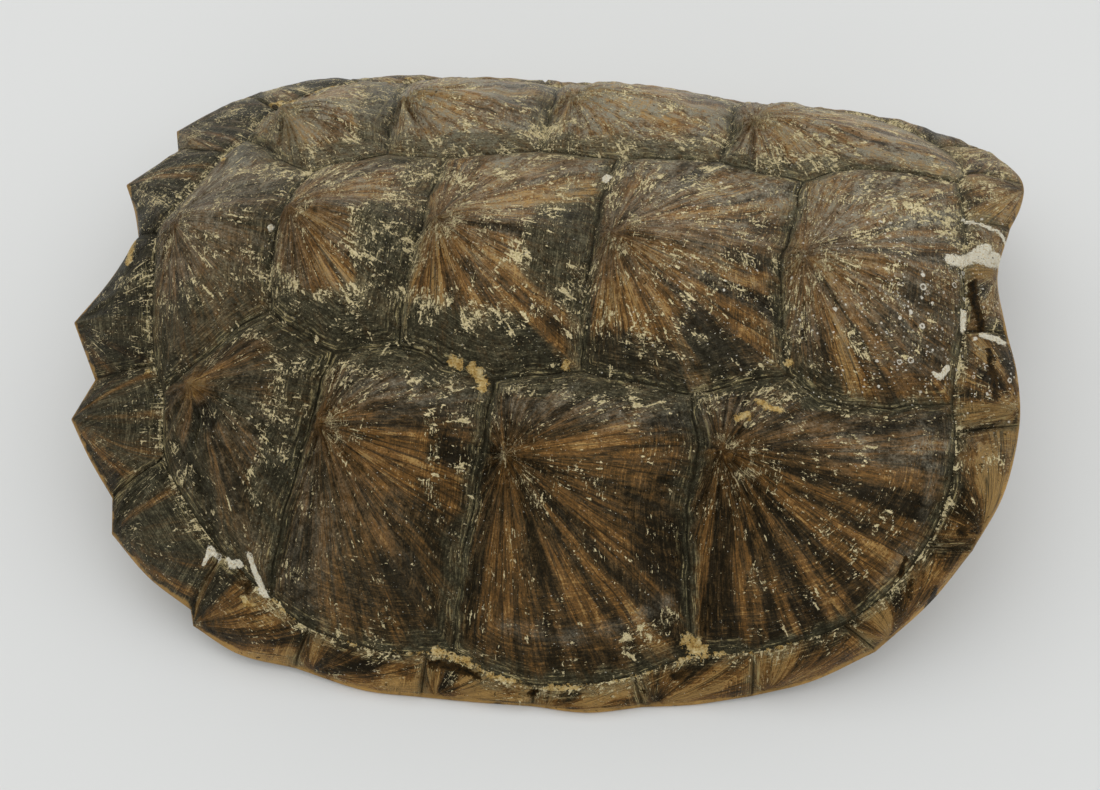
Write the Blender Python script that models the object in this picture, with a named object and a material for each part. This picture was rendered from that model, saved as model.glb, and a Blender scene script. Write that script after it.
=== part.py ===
"""Upper shell (carapace) of a large snapping turtle, grown as one hollow piece.

The shell rests on the lower edges of its two sides. +X is the head end, +Y the
animal's left side and +Z up. Sizes here are millimetres, and the mesh is in metres.
"""

import math

import bmesh
import bpy
import numpy as np

NODE = "carapace"
MM = 0.001

# ---------------------------------------------------------------- driving places
# The dome carries thirteen large scutes: five in the middle (v1 at the head end to
# v5 at the tail) and four on each side (c1 to c4). A nuchal scute in front and twelve
# marginal scutes on each side (m1 to m12) make the rim. Each place is given for one
# half of the shell as (forward, out from the midline, up).
CORNERS = {
    "v5_v4_c4": (-96.0, 33.0, 67.0),
    "v4_c4_c3": (-70.0, 46.5, 64.0),
    "v4_v3_c3": (-47.0, 43.5, 67.0),
    "v3_c3_c2": (-12.0, 53.0, 64.0),
    "v3_v2_c2": (18.0, 48.5, 67.0),
    "v2_c2_c1": (56.5, 53.0, 64.0),
    "v2_v1_c1": (88.5, 43.5, 66.0),
}
# Places that a seam passes on its way between two corners.
SEAM_BENDS = {
    "v5_c4": ((-107.0, 38.5, 64.0), (-118.0, 50.0, 58.0)),
    "v1_c1": ((103.0, 52.0, 63.0), (124.0, 53.0, 61.0)),
    "c4_c3": ((-73.0, 60.0, 60.0), (-75.0, 80.0, 53.5), (-80.0, 104.5, 37.0)),
    "c3_c2": ((-12.0, 70.0, 59.5), (-12.5, 92.0, 51.0), (-14.7, 109.5, 38.0),
              (-16.0, 124.5, 22.0)),
    "c2_c1": ((60.0, 70.0, 59.5), (60.0, 94.0, 49.5), (63.0, 113.0, 29.5)),
}
# Seams across the middle row: a place half way out, and the place on the midline.
CROSS_SEAMS = {
    "v5_v4": ((-98.5, 18.0, 72.5), (-99.0, 0.0, 76.5)),
    "v4_v3": ((-47.5, 22.0, 73.0), (-47.0, 0.0, 77.0)),
    "v3_v2": ((15.5, 25.0, 71.5), (16.0, 0.0, 75.5)),
    "v2_v1": ((85.5, 23.0, 69.0), (83.0, 0.0, 71.5)),
    "v1_nuchal": ((149.0, 12.0, 64.0), (147.5, 0.0, 65.0)),
}
# Inner edge of the rim. The key counts seams between marginal scutes, from 0 beside
# the nuchal scute to 12 on the midline at the tail: 2 is the seam of m2 and m3.
RIM_INNER = {
    0.0: (149.0, 24.5, 62.0),
    0.7: (146.5, 50.0, 58.5),
    1.0: (148.5, 58.0, 55.5),
    1.5: (147.5, 75.0, 47.0),
    2.0: (141.5, 90.5, 38.0),
    2.5: (131.0, 104.0, 31.5),
    3.0: (116.0, 116.0, 25.0),
    3.5: (102.0, 121.5, 20.5),
    4.0: (87.0, 125.5, 16.5),
    4.6: (66.0, 128.0, 13.5),
    5.0: (47.0, 135.0, 9.0),
    5.5: (29.0, 139.0, 6.5),
    6.0: (13.5, 140.5, 5.8),
    6.5: (-3.0, 138.5, 8.0),
    6.8: (-16.5, 134.5, 12.5),
    7.0: (-25.0, 135.0, 12.2),
    7.5: (-43.5, 135.5, 12.5),
    8.0: (-67.0, 131.5, 16.5),
    8.5: (-82.0, 123.5, 21.5),
    9.0: (-100.0, 112.5, 31.0),
    9.5: (-114.0, 99.5, 37.5),
    10.0: (-127.0, 83.5, 42.5),
    10.7: (-132.5, 61.0, 49.0),
    11.0: (-138.0, 51.0, 51.0),
    11.5: (-145.0, 29.0, 53.5),
    12.0: (-152.0, 0.0, 56.0),
}
# Free edge of the rim, keyed the same way. True marks a notch or a tooth.
RIM_OUTER = {
    0.0: ((164.5, 24.0, 60.0), True),
    0.5: ((168.5, 38.0, 58.0), False),
    1.0: ((170.0, 54.0, 54.5), False),
    1.5: ((166.5, 72.5, 47.0), False),
    2.0: ((158.0, 89.5, 37.5), True),
    2.5: ((145.5, 104.5, 25.5), False),
    3.0: ((128.0, 119.5, 15.0), True),
    3.5: ((108.0, 129.0, 7.5), False),
    4.0: ((88.0, 135.0, 3.8), True),
    4.5: ((68.0, 139.5, 2.0), False),
    5.0: ((51.0, 142.0, 2.0), True),
    5.5: ((32.0, 146.0, 2.0), False),
    6.0: ((13.0, 145.5, 2.0), True),
    6.5: ((-6.0, 146.0, 2.0), False),
    7.0: ((-26.0, 146.0, 2.0), True),
    7.5: ((-47.0, 145.5, 2.0), False),
    8.0: ((-72.0, 140.5, 4.0), True),
    8.5: ((-93.0, 138.0, 6.0), False),
    8.91: ((-110.5, 130.5, 9.5), True),
    9.0: ((-111.0, 127.0, 15.5), True),
    9.4: ((-128.0, 119.0, 20.0), False),
    9.8: ((-144.0, 107.0, 24.5), True),
    10.0: ((-144.5, 97.0, 33.0), True),
    10.35: ((-156.0, 84.0, 36.5), False),
    10.7: ((-166.5, 70.0, 39.0), True),
    11.0: ((-160.5, 55.5, 44.0), True),
    11.4: ((-174.5, 33.5, 47.5), True),
    11.7: ((-167.0, 18.0, 48.5), False),
    12.0: ((-160.5, 0.0, 50.0), True),
}
NUCHAL_EDGE = (160.5, 0.0, 60.5)
# Growth centres: forward, out from the midline, height above the even dome.
PEAKS = {
    "v5": (-138.0, 0.0, 6.5),
    "v4": (-93.0, 0.0, 8.5),
    "v3": (-41.0, 0.0, 7.5),
    "v2": (21.5, 0.0, 6.5),
    "v1": (89.5, 0.0, 5.0),
    "c4": (-113.0, 61.5, 8.0),
    "c3": (-69.0, 73.5, 6.5),
    "c2": (-3.5, 79.5, 6.0),
    "c1": (68.0, 72.5, 5.5),
}

# The two halves aren't equal: the left one grew further forward, and both ends turn.
LEFT_LEAD = 0.035
LEFT_LEAD_IN_FRONT = 0.025
# Each turn or lead starts at a place forward (or back) and is full after a run.
HEAD_TURN = 9.5
HEAD_TURN_START = 75.0
HEAD_TURN_RUN = 85.0
HEAD_TURN_WIDTH = 75.0
TAIL_TURN = 2.5
TAIL_TURN_START = 110.0
TAIL_TURN_RUN = 40.0
NOTCH_TURN = 6.0
NOTCH_TURN_START = 135.0
NOTCH_TURN_RUN = 25.0
NOTCH_TURN_WIDTH = 30.0
LEAD_START = 120.0
LEAD_RUN = 50.0

DOME_EASE = 40.0
PEAK_SHARPNESS = 1.35
KEEL_HEIGHT = 3.0
KEEL_WIDTH = 8.0
KEEL_START = 12.0
TERRACE_STEP = 1.2
TERRACES = (0.62, 0.86)
TERRACE_RUN = 0.10
RIB_HEIGHT = 0.45
RIBS_ROUND = 14
GROOVE_DEPTH = 1.3
GROOVE_HALF_WIDTH = 2.2
RIM_BULGE = 1.6
SIDE_BULGE = 1.8
TOOTH_RIDGE = 1.2
TOOTH_RIDGE_RUN = 0.5
RIM_SCUTES = 25.0
UNDER_RIM_SHARE = 0.38
WALL = 5.0
WALL_AT_RIM = 6.5
EDGE = 2.0
FOOT_WIDTH = 5.5
FOOT_KEYS = (3.7, 4.6, 7.55, 8.4)
SPINE_HEIGHT = 4.5
SPINE_HALF_WIDTH = 9.0
SPINE_REACH = 88.0
INSIDE_RIB_HEIGHT = 1.5
INSIDE_RIB_GAP = 34.0
INSIDE_RIB_START = -20.0

SEAM_SPACING = 6.8
SCUTE_RINGS = (0.83, 0.64, 0.42, 0.20)
SCUTE_COUNT_SHARE = 0.25
RIM_ROWS = (0.22, 0.60)
RIM_STEPS = (0.0, 0.09, 0.28, 0.5, 0.72, 0.91)
TOOTH_PULL = 0.105
NUCHAL_STEPS = 7
INSIDE_RINGS = (1.0, 0.90, 0.79, 0.68, 0.57, 0.46, 0.35, 0.24, 0.14, 0.06)
INSIDE_COUNT_SHARE = 0.45
INSIDE_SPACING = 10.5

HORN_COLOUR = (0.060, 0.038, 0.020, 1.0)
HORN_ROUGHNESS = 0.42


# ---------------------------------------------------------------- small helpers
def smooth(value):
    """Ease from 0 to 1."""
    value = min(1.0, max(0.0, value))
    return value * value * (3.0 - 2.0 * value)


def settle(point, side):
    """Put a half-shell place on a side (-1 right, 1 left), leaning as the shell does."""
    x, out, z = point
    near_middle = max(0.0, 1.0 - (out / HEAD_TURN_WIDTH) ** 2)
    turn = HEAD_TURN * smooth((x - HEAD_TURN_START) / HEAD_TURN_RUN) * near_middle
    turn += TAIL_TURN * smooth((-TAIL_TURN_START - x) / TAIL_TURN_RUN)
    near_notch = max(0.0, 1.0 - out / NOTCH_TURN_WIDTH)
    turn += NOTCH_TURN * smooth((-NOTCH_TURN_START - x) / NOTCH_TURN_RUN) * near_notch
    lead = LEFT_LEAD + LEFT_LEAD_IN_FRONT * smooth((x - LEAD_START) / LEAD_RUN)
    return np.array([x + lead * side * out, side * out + turn, z])


def curve(keys, points, wanted, kinks=()):
    """Smooth curve through keyed points, read at the wanted keys, with some corners."""
    keys = np.asarray(keys, float)
    points = np.asarray(points, float)
    slope = np.diff(points, axis=0) / np.diff(keys)[:, None]
    leave = np.vstack([slope, slope[-1:]])
    arrive = np.vstack([slope[:1], slope])
    for index in range(1, len(keys) - 1):
        if index not in kinks:
            rise = points[index + 1] - points[index - 1]
            leave[index] = rise / (keys[index + 1] - keys[index - 1])
            arrive[index] = leave[index]
    wanted = np.atleast_1d(wanted)
    low = np.clip(np.searchsorted(keys, wanted, side="right") - 1, 0, len(keys) - 2)
    span = (keys[low + 1] - keys[low])[:, None]
    t = (wanted - keys[low])[:, None] / span
    from_low = (1 + 2 * t) * (1 - t) ** 2 * points[low] + t * (1 - t) ** 2 * span * leave[low]
    to_high = t * t * (3 - 2 * t) * points[low + 1] + t * t * (t - 1) * span * arrive[low + 1]
    return from_low + to_high


def along(points, count):
    """Places at even distances along an open line of points."""
    points = np.asarray(points, float)
    steps = np.linalg.norm(np.diff(points, axis=0), axis=1)
    keys = np.concatenate([[0.0], np.cumsum(steps)])
    return curve(keys, points, np.linspace(0.0, keys[-1], count + 1))


def read_loop(loop, count):
    """Places at even steps of index round a closed loop of points."""
    at = np.arange(count) * len(loop) / count
    low = np.floor(at).astype(int)
    part = (at - low)[:, None]
    return loop[low % len(loop)] * (1 - part) + loop[(low + 1) % len(loop)] * part


def rim_inner(keys, side):
    points = [settle(point, side) for point in RIM_INNER.values()]
    return curve(list(RIM_INNER), points, keys)


def rim_outer(keys, side):
    points = [settle(point, side) for point, _ in RIM_OUTER.values()]
    kinks = [index for index, (_, kink) in enumerate(RIM_OUTER.values()) if kink]
    edge = curve(list(RIM_OUTER), points, keys, kinks)
    edge[:, 2] = np.maximum(edge[:, 2], EDGE)
    return edge


# ---------------------------------------------------------------- the even dome
class Dome:
    """Bending-plate surface through the seam places: a height for a plan position."""

    def __init__(self, points):
        points = np.asarray(points, float)
        self.sites = points[:, :2]
        count = len(points)
        system = np.zeros((count + 3, count + 3))
        system[:count, :count] = self.pull(self.sites) + np.eye(count) * DOME_EASE
        system[:count, count] = 1.0
        system[:count, count + 1:] = self.sites
        system[count:, :count] = system[:count, count:].T
        known = np.concatenate([points[:, 2], np.zeros(3)])
        self.weights = np.linalg.solve(system, known)

    def pull(self, plan):
        gap = plan[:, None, :] - self.sites[None, :, :]
        squared = np.maximum((gap ** 2).sum(-1), 1e-9)
        return 0.5 * squared * np.log(squared)

    def height(self, plan):
        count = len(self.sites)
        flat = self.weights[count] + plan @ self.weights[count + 1:]
        return self.pull(plan) @ self.weights[:count] + flat

    def normal(self, plan):
        nudge = 1.5
        along_x = self.height(plan + [nudge, 0.0]) - self.height(plan - [nudge, 0.0])
        along_y = self.height(plan + [0.0, nudge]) - self.height(plan - [0.0, nudge])
        normal = np.stack([-along_x, -along_y, np.full(len(plan), 2 * nudge)], axis=1)
        return normal / np.linalg.norm(normal, axis=1)[:, None]

    def lift(self, plan, relief):
        """Points over a plan, raised by relief along the surface normal."""
        plan = np.asarray(plan, float)[:, :2]
        base = np.column_stack([plan, self.height(plan)])
        return base + self.normal(plan) * np.reshape(relief, (-1, 1))


def dome_places():
    half = list(CORNERS.values()) + list(RIM_INNER.values())[:-1]
    half += [bend for bends in SEAM_BENDS.values() for bend in bends]
    half += [pair[0] for pair in CROSS_SEAMS.values()]
    middle = [pair[1] for pair in CROSS_SEAMS.values()] + [RIM_INNER[12.0]]
    places = [settle(point, side) for side in (-1, 1) for point in half]
    return places + [settle(point, 1) for point in middle]


# ---------------------------------------------------------------- mesh under way
class Skin:
    """Points and triangles, with the points of each seam shared by its neighbours."""

    def __init__(self, dome):
        self.dome = dome
        self.points = []
        self.triangles = []
        self.seams = {}
        self.corners = {}

    def add(self, points):
        first = len(self.points)
        self.points.extend(points)
        return list(range(first, first + len(points)))

    def corner(self, name, point):
        if name not in self.corners:
            self.corners[name] = self.add([point])[0]
        return self.corners[name]

    def lay_seam(self, name, start, end, plan):
        """Set one seam in its groove, from corner to corner."""
        points = self.dome.lift(plan, np.full(len(plan), -GROOVE_DEPTH))
        first = self.corner(start, points[0])
        last = self.corner(end, points[-1])
        self.seams[name] = [first] + self.add(points[1:-1]) + [last]

    def follow(self, path):
        """Point numbers round a closed path of (seam, direction)."""
        numbers = []
        for name, way in path:
            numbers.extend(self.seams[name][::way][:-1])
        return numbers

    def stitch(self, outer, inner, outer_at=None, inner_at=None, down=False):
        """Join two loops that run the same way round. Faces point up, or down."""
        outer_at = list(outer_at) if outer_at is not None else even(len(outer))
        inner_at = list(inner_at) if inner_at is not None else even(len(inner))
        outer_at.append(outer_at[0] + 1.0)
        inner_at.append(inner_at[0] + 1.0)
        i = j = 0
        while i < len(outer) or j < len(inner):
            a = outer[i % len(outer)]
            b = inner[j % len(inner)]
            outer_next = outer_at[i + 1] if i < len(outer) else math.inf
            inner_next = inner_at[j + 1] if j < len(inner) else math.inf
            if outer_next <= inner_next:
                i += 1
                face = (a, outer[i % len(outer)], b)
            else:
                j += 1
                face = (a, inner[j % len(inner)], b)
            if len(set(face)) == 3:
                self.triangles.append(face[::-1] if down else face)

    def close(self, loop, middle):
        for index, number in enumerate(loop):
            self.triangles.append((number, loop[(index + 1) % len(loop)], middle))


def even(count):
    return [index / count for index in range(count)]


# ---------------------------------------------------------------- seams
SIDE_SEAMS = {
    "v5_c4": ("v5_v4_c4", 10.7),
    "v4_c4": ("v5_v4_c4", "v4_c4_c3"),
    "v4_c3": ("v4_c4_c3", "v4_v3_c3"),
    "v3_c3": ("v4_v3_c3", "v3_c3_c2"),
    "v3_c2": ("v3_c3_c2", "v3_v2_c2"),
    "v2_c2": ("v3_v2_c2", "v2_c2_c1"),
    "v2_c1": ("v2_c2_c1", "v2_v1_c1"),
    "v1_c1": ("v2_v1_c1", 0.7),
    "c4_c3": ("v4_c4_c3", 8.5),
    "c3_c2": ("v3_c3_c2", 6.8),
    "c2_c1": ("v2_c2_c1", 4.6),
}
CROSS_ENDS = {
    "v5_v4": "v5_v4_c4",
    "v4_v3": "v4_v3_c3",
    "v3_v2": "v3_v2_c2",
    "v2_v1": "v2_v1_c1",
    "v1_nuchal": 0.0,
}
# Where a seam of the dome or of two marginals meets the inner edge of the rim.
RIM_STOPS = (0.0, 0.7, 1.0, 2.0, 3.0, 4.0, 4.6, 5.0, 6.0, 6.8, 7.0, 8.0, 8.5, 9.0, 10.0, 10.7,
             11.0, 12.0)


def corner_place(name, side):
    if name in CORNERS:
        return settle(CORNERS[name], side)
    return rim_inner(name, side)[0]


def corner_name(name, side):
    return (name, 0) if name == 12.0 else (name, side)


def rim_keys(first, last):
    """Keys of the points between two stops on the inner edge of the rim."""
    length = np.linalg.norm(rim_inner(first, 1)[0] - rim_inner(last, 1)[0])
    return np.linspace(first, last, max(1, round(length / SEAM_SPACING)) + 1)


def lay_side_seams(skin, side):
    for name, (start, end) in SIDE_SEAMS.items():
        bends = [settle(point, side) for point in SEAM_BENDS.get(name, ())]
        line = [corner_place(start, side)] + bends + [corner_place(end, side)]
        length = np.linalg.norm(np.diff(line, axis=0), axis=1).sum()
        plan = along(line, max(2, round(length / SEAM_SPACING)))
        skin.lay_seam((name, side), (start, side), (end, side), plan)
    for first, last in zip(RIM_STOPS[:-1], RIM_STOPS[1:]):
        plan = rim_inner(rim_keys(first, last), side)
        skin.lay_seam((first, side), corner_name(first, side), corner_name(last, side), plan)


def lay_cross_seams(skin):
    for name, (bend, middle) in CROSS_SEAMS.items():
        end = CROSS_ENDS[name]
        right = [corner_place(end, -1), settle(bend, -1)]
        left = [settle(bend, 1), corner_place(end, 1)]
        line = right + [settle(middle, 1)] + left
        length = np.linalg.norm(np.diff(line, axis=0), axis=1).sum()
        plan = along(line, max(2, round(length / SEAM_SPACING)))
        skin.lay_seam((name, 0), (end, -1), (end, 1), plan)


def back(path):
    return [(name, -way) for name, way in reversed(path)]


def flank(side, *names):
    return [((name, side), 1) for name in names]


def rim_path(first, last, side):
    return flank(side, *[stop for stop in RIM_STOPS if first <= stop < last])


def vertebral_path(name):
    """Seams round a scute of the middle row, anticlockwise from above."""
    if name == "v5":
        halves = [flank(side, "v5_c4") + rim_path(10.7, 12.0, side) for side in (-1, 1)]
        return [(("v5_v4", 0), 1)] + halves[1] + back(halves[0])
    if name == "v1":
        halves = [flank(side, "v1_c1") + back(rim_path(0.0, 0.7, side)) for side in (-1, 1)]
        return halves[0] + [(("v1_nuchal", 0), 1)] + back(halves[1]) + [(("v2_v1", 0), -1)]
    rear, front, names = {
        "v4": ("v5_v4", "v4_v3", ("v4_c4", "v4_c3")),
        "v3": ("v4_v3", "v3_v2", ("v3_c3", "v3_c2")),
        "v2": ("v3_v2", "v2_v1", ("v2_c2", "v2_c1")),
    }[name]
    sides = flank(-1, *names) + [((front, 0), 1)] + back(flank(1, *names))
    return sides + [((rear, 0), -1)]


def costal_path(name, side):
    """Seams round a scute of a side row, anticlockwise from above."""
    inner, rear, front, low, high = {
        "c4": (("v4_c4",), "v5_c4", "c4_c3", 8.5, 10.7),
        "c3": (("v4_c3", "v3_c3"), "c4_c3", "c3_c2", 6.8, 8.5),
        "c2": (("v3_c2", "v2_c2"), "c3_c2", "c2_c1", 4.6, 6.8),
        "c1": (("v2_c1",), "c2_c1", "v1_c1", 0.7, 4.6),
    }[name]
    path = flank(side, rear) + back(rim_path(low, high, side))
    path += back(flank(side, front)) + back(flank(side, *inner))
    return path if side < 0 else back(path)


# ---------------------------------------------------------------- scutes
def seam_share(plan, centre, border):
    """0 at the growth centre and 1 at the nearest seam, for each place of a plan."""
    away = np.linalg.norm(plan - centre, axis=1)
    side = np.roll(border, -1, axis=0) - border
    from_start = plan[:, None, :] - border[None, :, :]
    part = np.clip((from_start * side).sum(-1) / (side ** 2).sum(-1), 0.0, 1.0)
    gap = np.linalg.norm(from_start - part[:, :, None] * side, axis=2).min(axis=1)
    return away / (away + gap)


def scute_relief(share, offset, peak):
    """Height above the dome: peak, keel, growth ledges and low ribs.

    share is 0 at the growth centre and 1 at the seam, and offset is the plan place
    measured from the growth centre.
    """
    fall = (1.0 - share) ** PEAK_SHARPNESS
    ahead = np.clip(offset[:, 0] / KEEL_START, 0.0, 1.0)
    keel = KEEL_HEIGHT * ahead * np.exp(-(offset[:, 1] / KEEL_WIDTH) ** 2)
    keel *= np.sqrt(share) * (1.0 - share)
    ledges = sum(1.0 - np.clip((share - at) / TERRACE_RUN, 0.0, 1.0) for at in TERRACES)
    angle = np.arctan2(offset[:, 1], offset[:, 0])
    ribs = RIB_HEIGHT * np.cos(RIBS_ROUND * angle) * 4.0 * share * (1.0 - share)
    return peak * fall + 2.0 * keel + TERRACE_STEP * ledges + ribs


def grow_scute(skin, path, centre, peak):
    """Rings of points from the seams in to the growth centre."""
    numbers = skin.follow(path)
    border = np.array([skin.points[number] for number in numbers])[:, :2]
    reach = np.linalg.norm(border - centre, axis=1)
    shares = [1.0 - GROOVE_HALF_WIDTH / reach]
    shares += [np.full(len(border), ring) * (1.0 - GROOVE_HALF_WIDTH / reach) for ring in SCUTE_RINGS]
    outer = numbers
    for ring, share in zip((1.0,) + SCUTE_RINGS, shares):
        count = SCUTE_COUNT_SHARE + (1.0 - SCUTE_COUNT_SHARE) * ring
        count = max(7, round(len(border) * count))
        loop = read_loop(centre + (border - centre) * share[:, None], count)
        relief = scute_relief(seam_share(loop, centre, border), loop - centre, peak)
        inner = skin.add(skin.dome.lift(loop, relief))
        skin.stitch(outer, inner)
        outer = inner
    tip = scute_relief(np.zeros(1), np.zeros((1, 2)), peak)
    skin.close(outer, skin.add(skin.dome.lift(centre[None, :], tip))[0])


def grow_scutes(skin):
    for name, (x, out, peak) in PEAKS.items():
        if name.startswith("v"):
            grow_scute(skin, vertebral_path(name), settle((x, out, 0.0), 1)[:2], peak)
            continue
        for side in (-1, 1):
            grow_scute(skin, costal_path(name, side), settle((x, out, 0.0), side)[:2], peak)


# ---------------------------------------------------------------- rim and inside
class Station:
    """One place round the rim, with the section of the rim there."""

    def __init__(self, skin, key, side, inner, outer, seam_gap):
        self.at = rim_turn(key, side)
        self.inner = inner
        self.outer = outer
        self.foot = foot_share(key)
        self.cut = -GROOVE_DEPTH if seam_gap == 0 else 0.0
        self.tooth = TOOTH_RIDGE * (1.0 - self.foot) * smooth(seam_gap / TOOTH_RIDGE_RUN)
        self.surface = skin.dome.lift(inner[None, :], [0.0])[0]
        self.normal = skin.dome.normal(inner[None, :2])[0]

    def top(self, share):
        """Point on the outer face, from the inner seam (0) to the free edge (1)."""
        chord = self.outer - self.surface
        across = np.array([chord[0], chord[1], 0.0])
        across /= np.linalg.norm(across)
        bulge = RIM_BULGE + (SIDE_BULGE - RIM_BULGE) * self.foot
        out = (self.normal + across) / np.linalg.norm(self.normal + across)
        lift = 4.0 * share * (1.0 - share) * bulge
        relief = self.cut * (1.0 - share ** 3) + self.tooth * share * (1.0 - share) * 4.0
        return self.surface + chord * share + out * lift + self.normal * relief

    def under_edge(self):
        return self.outer - [0.0, 0.0, EDGE]

    def under_rim(self):
        return self.surface - self.normal * WALL_AT_RIM

    def under_middle(self):
        """Inner edge of the flat foot on the sides, and the underside elsewhere."""
        edge = self.under_edge()
        inward = self.under_rim() - edge
        flat = np.array([inward[0], inward[1], 0.0])
        flat *= FOOT_WIDTH / np.linalg.norm(flat)
        return edge + flat * self.foot + inward * UNDER_RIM_SHARE * (1.0 - self.foot)


def foot_share(key):
    """1 where the side rim stands on the ground, 0 where the rim is clear of it."""
    low, full, end, high = FOOT_KEYS
    return smooth((key - low) / (full - low)) * smooth((high - key) / (high - end))


def rim_turn(key, side):
    """Turn round the rim, anticlockwise from the tail: right side, nuchal, left side."""
    if side < 0:
        return (12.0 - key) / RIM_SCUTES
    return (13.0 + key) / RIM_SCUTES


def meet_tooth(key):
    """Move a key that isn't on a seam onto the point of a tooth close by."""
    teeth = [tooth for tooth, (_, kink) in RIM_OUTER.items() if kink and tooth % 1.0]
    near = [tooth for tooth in teeth if key % 1.0 and abs(tooth - key) <= TOOTH_PULL]
    return near[0] if near else key


def stations(skin):
    """Every station round the rim, in order from the tail."""
    found = []
    for side in (-1, 1):
        keys = [meet_tooth(whole + step) for whole in range(12) for step in RIM_STEPS]
        keys = [*keys, 12.0] if side < 0 else keys
        inner = rim_inner(keys, side)
        outer = rim_outer(keys, side)
        half = []
        for index, key in enumerate(keys):
            gap = min(key % 1.0, 1.0 - key % 1.0)
            half.append(Station(skin, key, side, inner[index], outer[index], gap))
        found.append(half)
    return found[0][::-1] + nuchal_stations(skin, found[0][0], found[1][0]) + found[1]


def nuchal_stations(skin, right, left):
    middle = settle(CROSS_SEAMS["v1_nuchal"][1], 1)
    bends = [settle(CROSS_SEAMS["v1_nuchal"][0], side) for side in (-1, 1)]
    line = [right.inner, bends[0], middle, bends[1], left.inner]
    inner = along(line, NUCHAL_STEPS)
    edge = settle(NUCHAL_EDGE, 1)
    outer = curve([0.0, 0.5, 1.0], [right.outer, edge, left.outer], even(NUCHAL_STEPS))
    found = []
    for index in range(1, NUCHAL_STEPS):
        gap = min(index, NUCHAL_STEPS - index) / NUCHAL_STEPS
        station = Station(skin, 0.0, -1, inner[index], outer[index], gap)
        station.at = (12.0 + index / NUCHAL_STEPS) / RIM_SCUTES
        found.append(station)
    return found


def rim_seam_loop(skin):
    """Seam points round the inner edge of the rim, and where each one is."""
    right = back(rim_path(0.0, 12.0, -1))
    left = rim_path(0.0, 12.0, 1)
    numbers = skin.follow(right + [(("v1_nuchal", 0), 1)] + left)
    half = np.concatenate([rim_keys(*pair)[:-1] for pair in zip(RIM_STOPS[:-1], RIM_STOPS[1:])])
    at = [rim_turn(key, -1) for key in [12.0, *half[::-1]]][:-1]
    nuchal = len(skin.seams[("v1_nuchal", 0)]) - 1
    at += [(12.0 + index / nuchal) / RIM_SCUTES for index in range(nuchal)]
    at += [rim_turn(key, 1) for key in half]
    return numbers, at


def grow_rim(skin, round_rim):
    """Outer face, free edge and underside of the rim. Returns the last loop."""
    at = [station.at for station in round_rim]
    loop, loop_at = rim_seam_loop(skin)
    for share in RIM_ROWS + (1.0,):
        row = skin.add([station.top(share) for station in round_rim])
        skin.stitch(row, loop, at, loop_at)
        loop, loop_at = row, at
    for section in (Station.under_edge, Station.under_middle):
        row = skin.add([section(station) for station in round_rim])
        skin.stitch(loop, row, at, at, down=True)
        loop = row
    return loop, at


def inside_drop(plan, share):
    """Wall thickness inside: thicker at the rim, along the spine and on the ribs."""
    wall = WALL + (WALL_AT_RIM - WALL) * share ** 2
    spine = SPINE_HEIGHT * np.exp(-(plan[:, 1] / SPINE_HALF_WIDTH) ** 2)
    phase = 2.0 * math.pi * (plan[:, 0] - INSIDE_RIB_START) / INSIDE_RIB_GAP
    ribs = INSIDE_RIB_HEIGHT * (0.5 + 0.5 * np.cos(phase)) * (1.0 - share ** 4)
    return wall + spine * (1.0 - share ** 2) + ribs


def grow_inside(skin, round_rim, loop, at):
    """Hollow underside: rings from the rim in to the line of the spine."""
    border = np.array([station.inner for station in round_rim])[:, :2]
    places = np.column_stack([border, at])
    length = np.linalg.norm(np.diff(border, axis=0), axis=1).sum()
    for share in INSIDE_RINGS:
        wide = length * (INSIDE_COUNT_SHARE + (1.0 - INSIDE_COUNT_SHARE) * share)
        ring = read_loop(places[:-1], round(wide / INSIDE_SPACING))
        ring_at = ring[:, 2]
        spine = np.clip(ring[:, 0], -SPINE_REACH, SPINE_REACH)
        middle = np.column_stack([spine, np.zeros(len(ring))])
        plan = middle + (ring[:, :2] - middle) * share
        drop = inside_drop(plan, share)
        row = skin.add(skin.dome.lift(plan, -drop))
        skin.stitch(loop, row, at, ring_at, down=True)
        loop, at = row, ring_at
    close_spine(skin, loop, ring)


def close_spine(skin, loop, ring):
    """Points along the spine, met by the last ring from both sides."""
    count = 2 * round(SPINE_REACH / INSIDE_SPACING)
    x = np.linspace(-SPINE_REACH, SPINE_REACH, count + 1)
    plan = np.column_stack([x, np.zeros(count + 1)])
    numbers = skin.add(skin.dome.lift(plan, -inside_drop(plan, 0.0)))
    right = ring[ring[:, 2] < 0.5]
    left = ring[ring[:, 2] >= 0.5][::-1]
    there = np.interp(x, right[:, 0], right[:, 2])
    and_back = np.interp(x, left[:, 0], left[:, 2])[::-1]
    spine_at = np.concatenate([there, and_back])
    skin.stitch(loop, numbers + numbers[::-1], ring[:, 2], spine_at, down=True)


# ---------------------------------------------------------------- object
def horn_material():
    """Dark brown horn, a little glossy."""
    material = bpy.data.materials.new("horn")
    material.use_nodes = True
    shader = material.node_tree.nodes["Principled BSDF"]
    shader.inputs["Base Color"].default_value = HORN_COLOUR
    shader.inputs["Roughness"].default_value = HORN_ROUGHNESS
    shader.inputs["Metallic"].default_value = 0.0
    return material


def make_object(skin):
    """Centre the mesh over its box, stand it on the ground and make the object."""
    points = np.array(skin.points)
    low = points.min(axis=0)
    high = points.max(axis=0)
    points -= [(low[0] + high[0]) / 2.0, (low[1] + high[1]) / 2.0, low[2]]
    shape = bmesh.new()
    verts = [shape.verts.new(point) for point in points * MM]
    for triangle in skin.triangles:
        face = shape.faces.new([verts[number] for number in triangle])
        face.smooth = True
    mesh = bpy.data.meshes.new(NODE)
    shape.to_mesh(mesh)
    shape.free()
    mesh.materials.append(horn_material())
    carapace = bpy.data.objects.new(NODE, mesh)
    bpy.context.scene.collection.objects.link(carapace)


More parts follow.
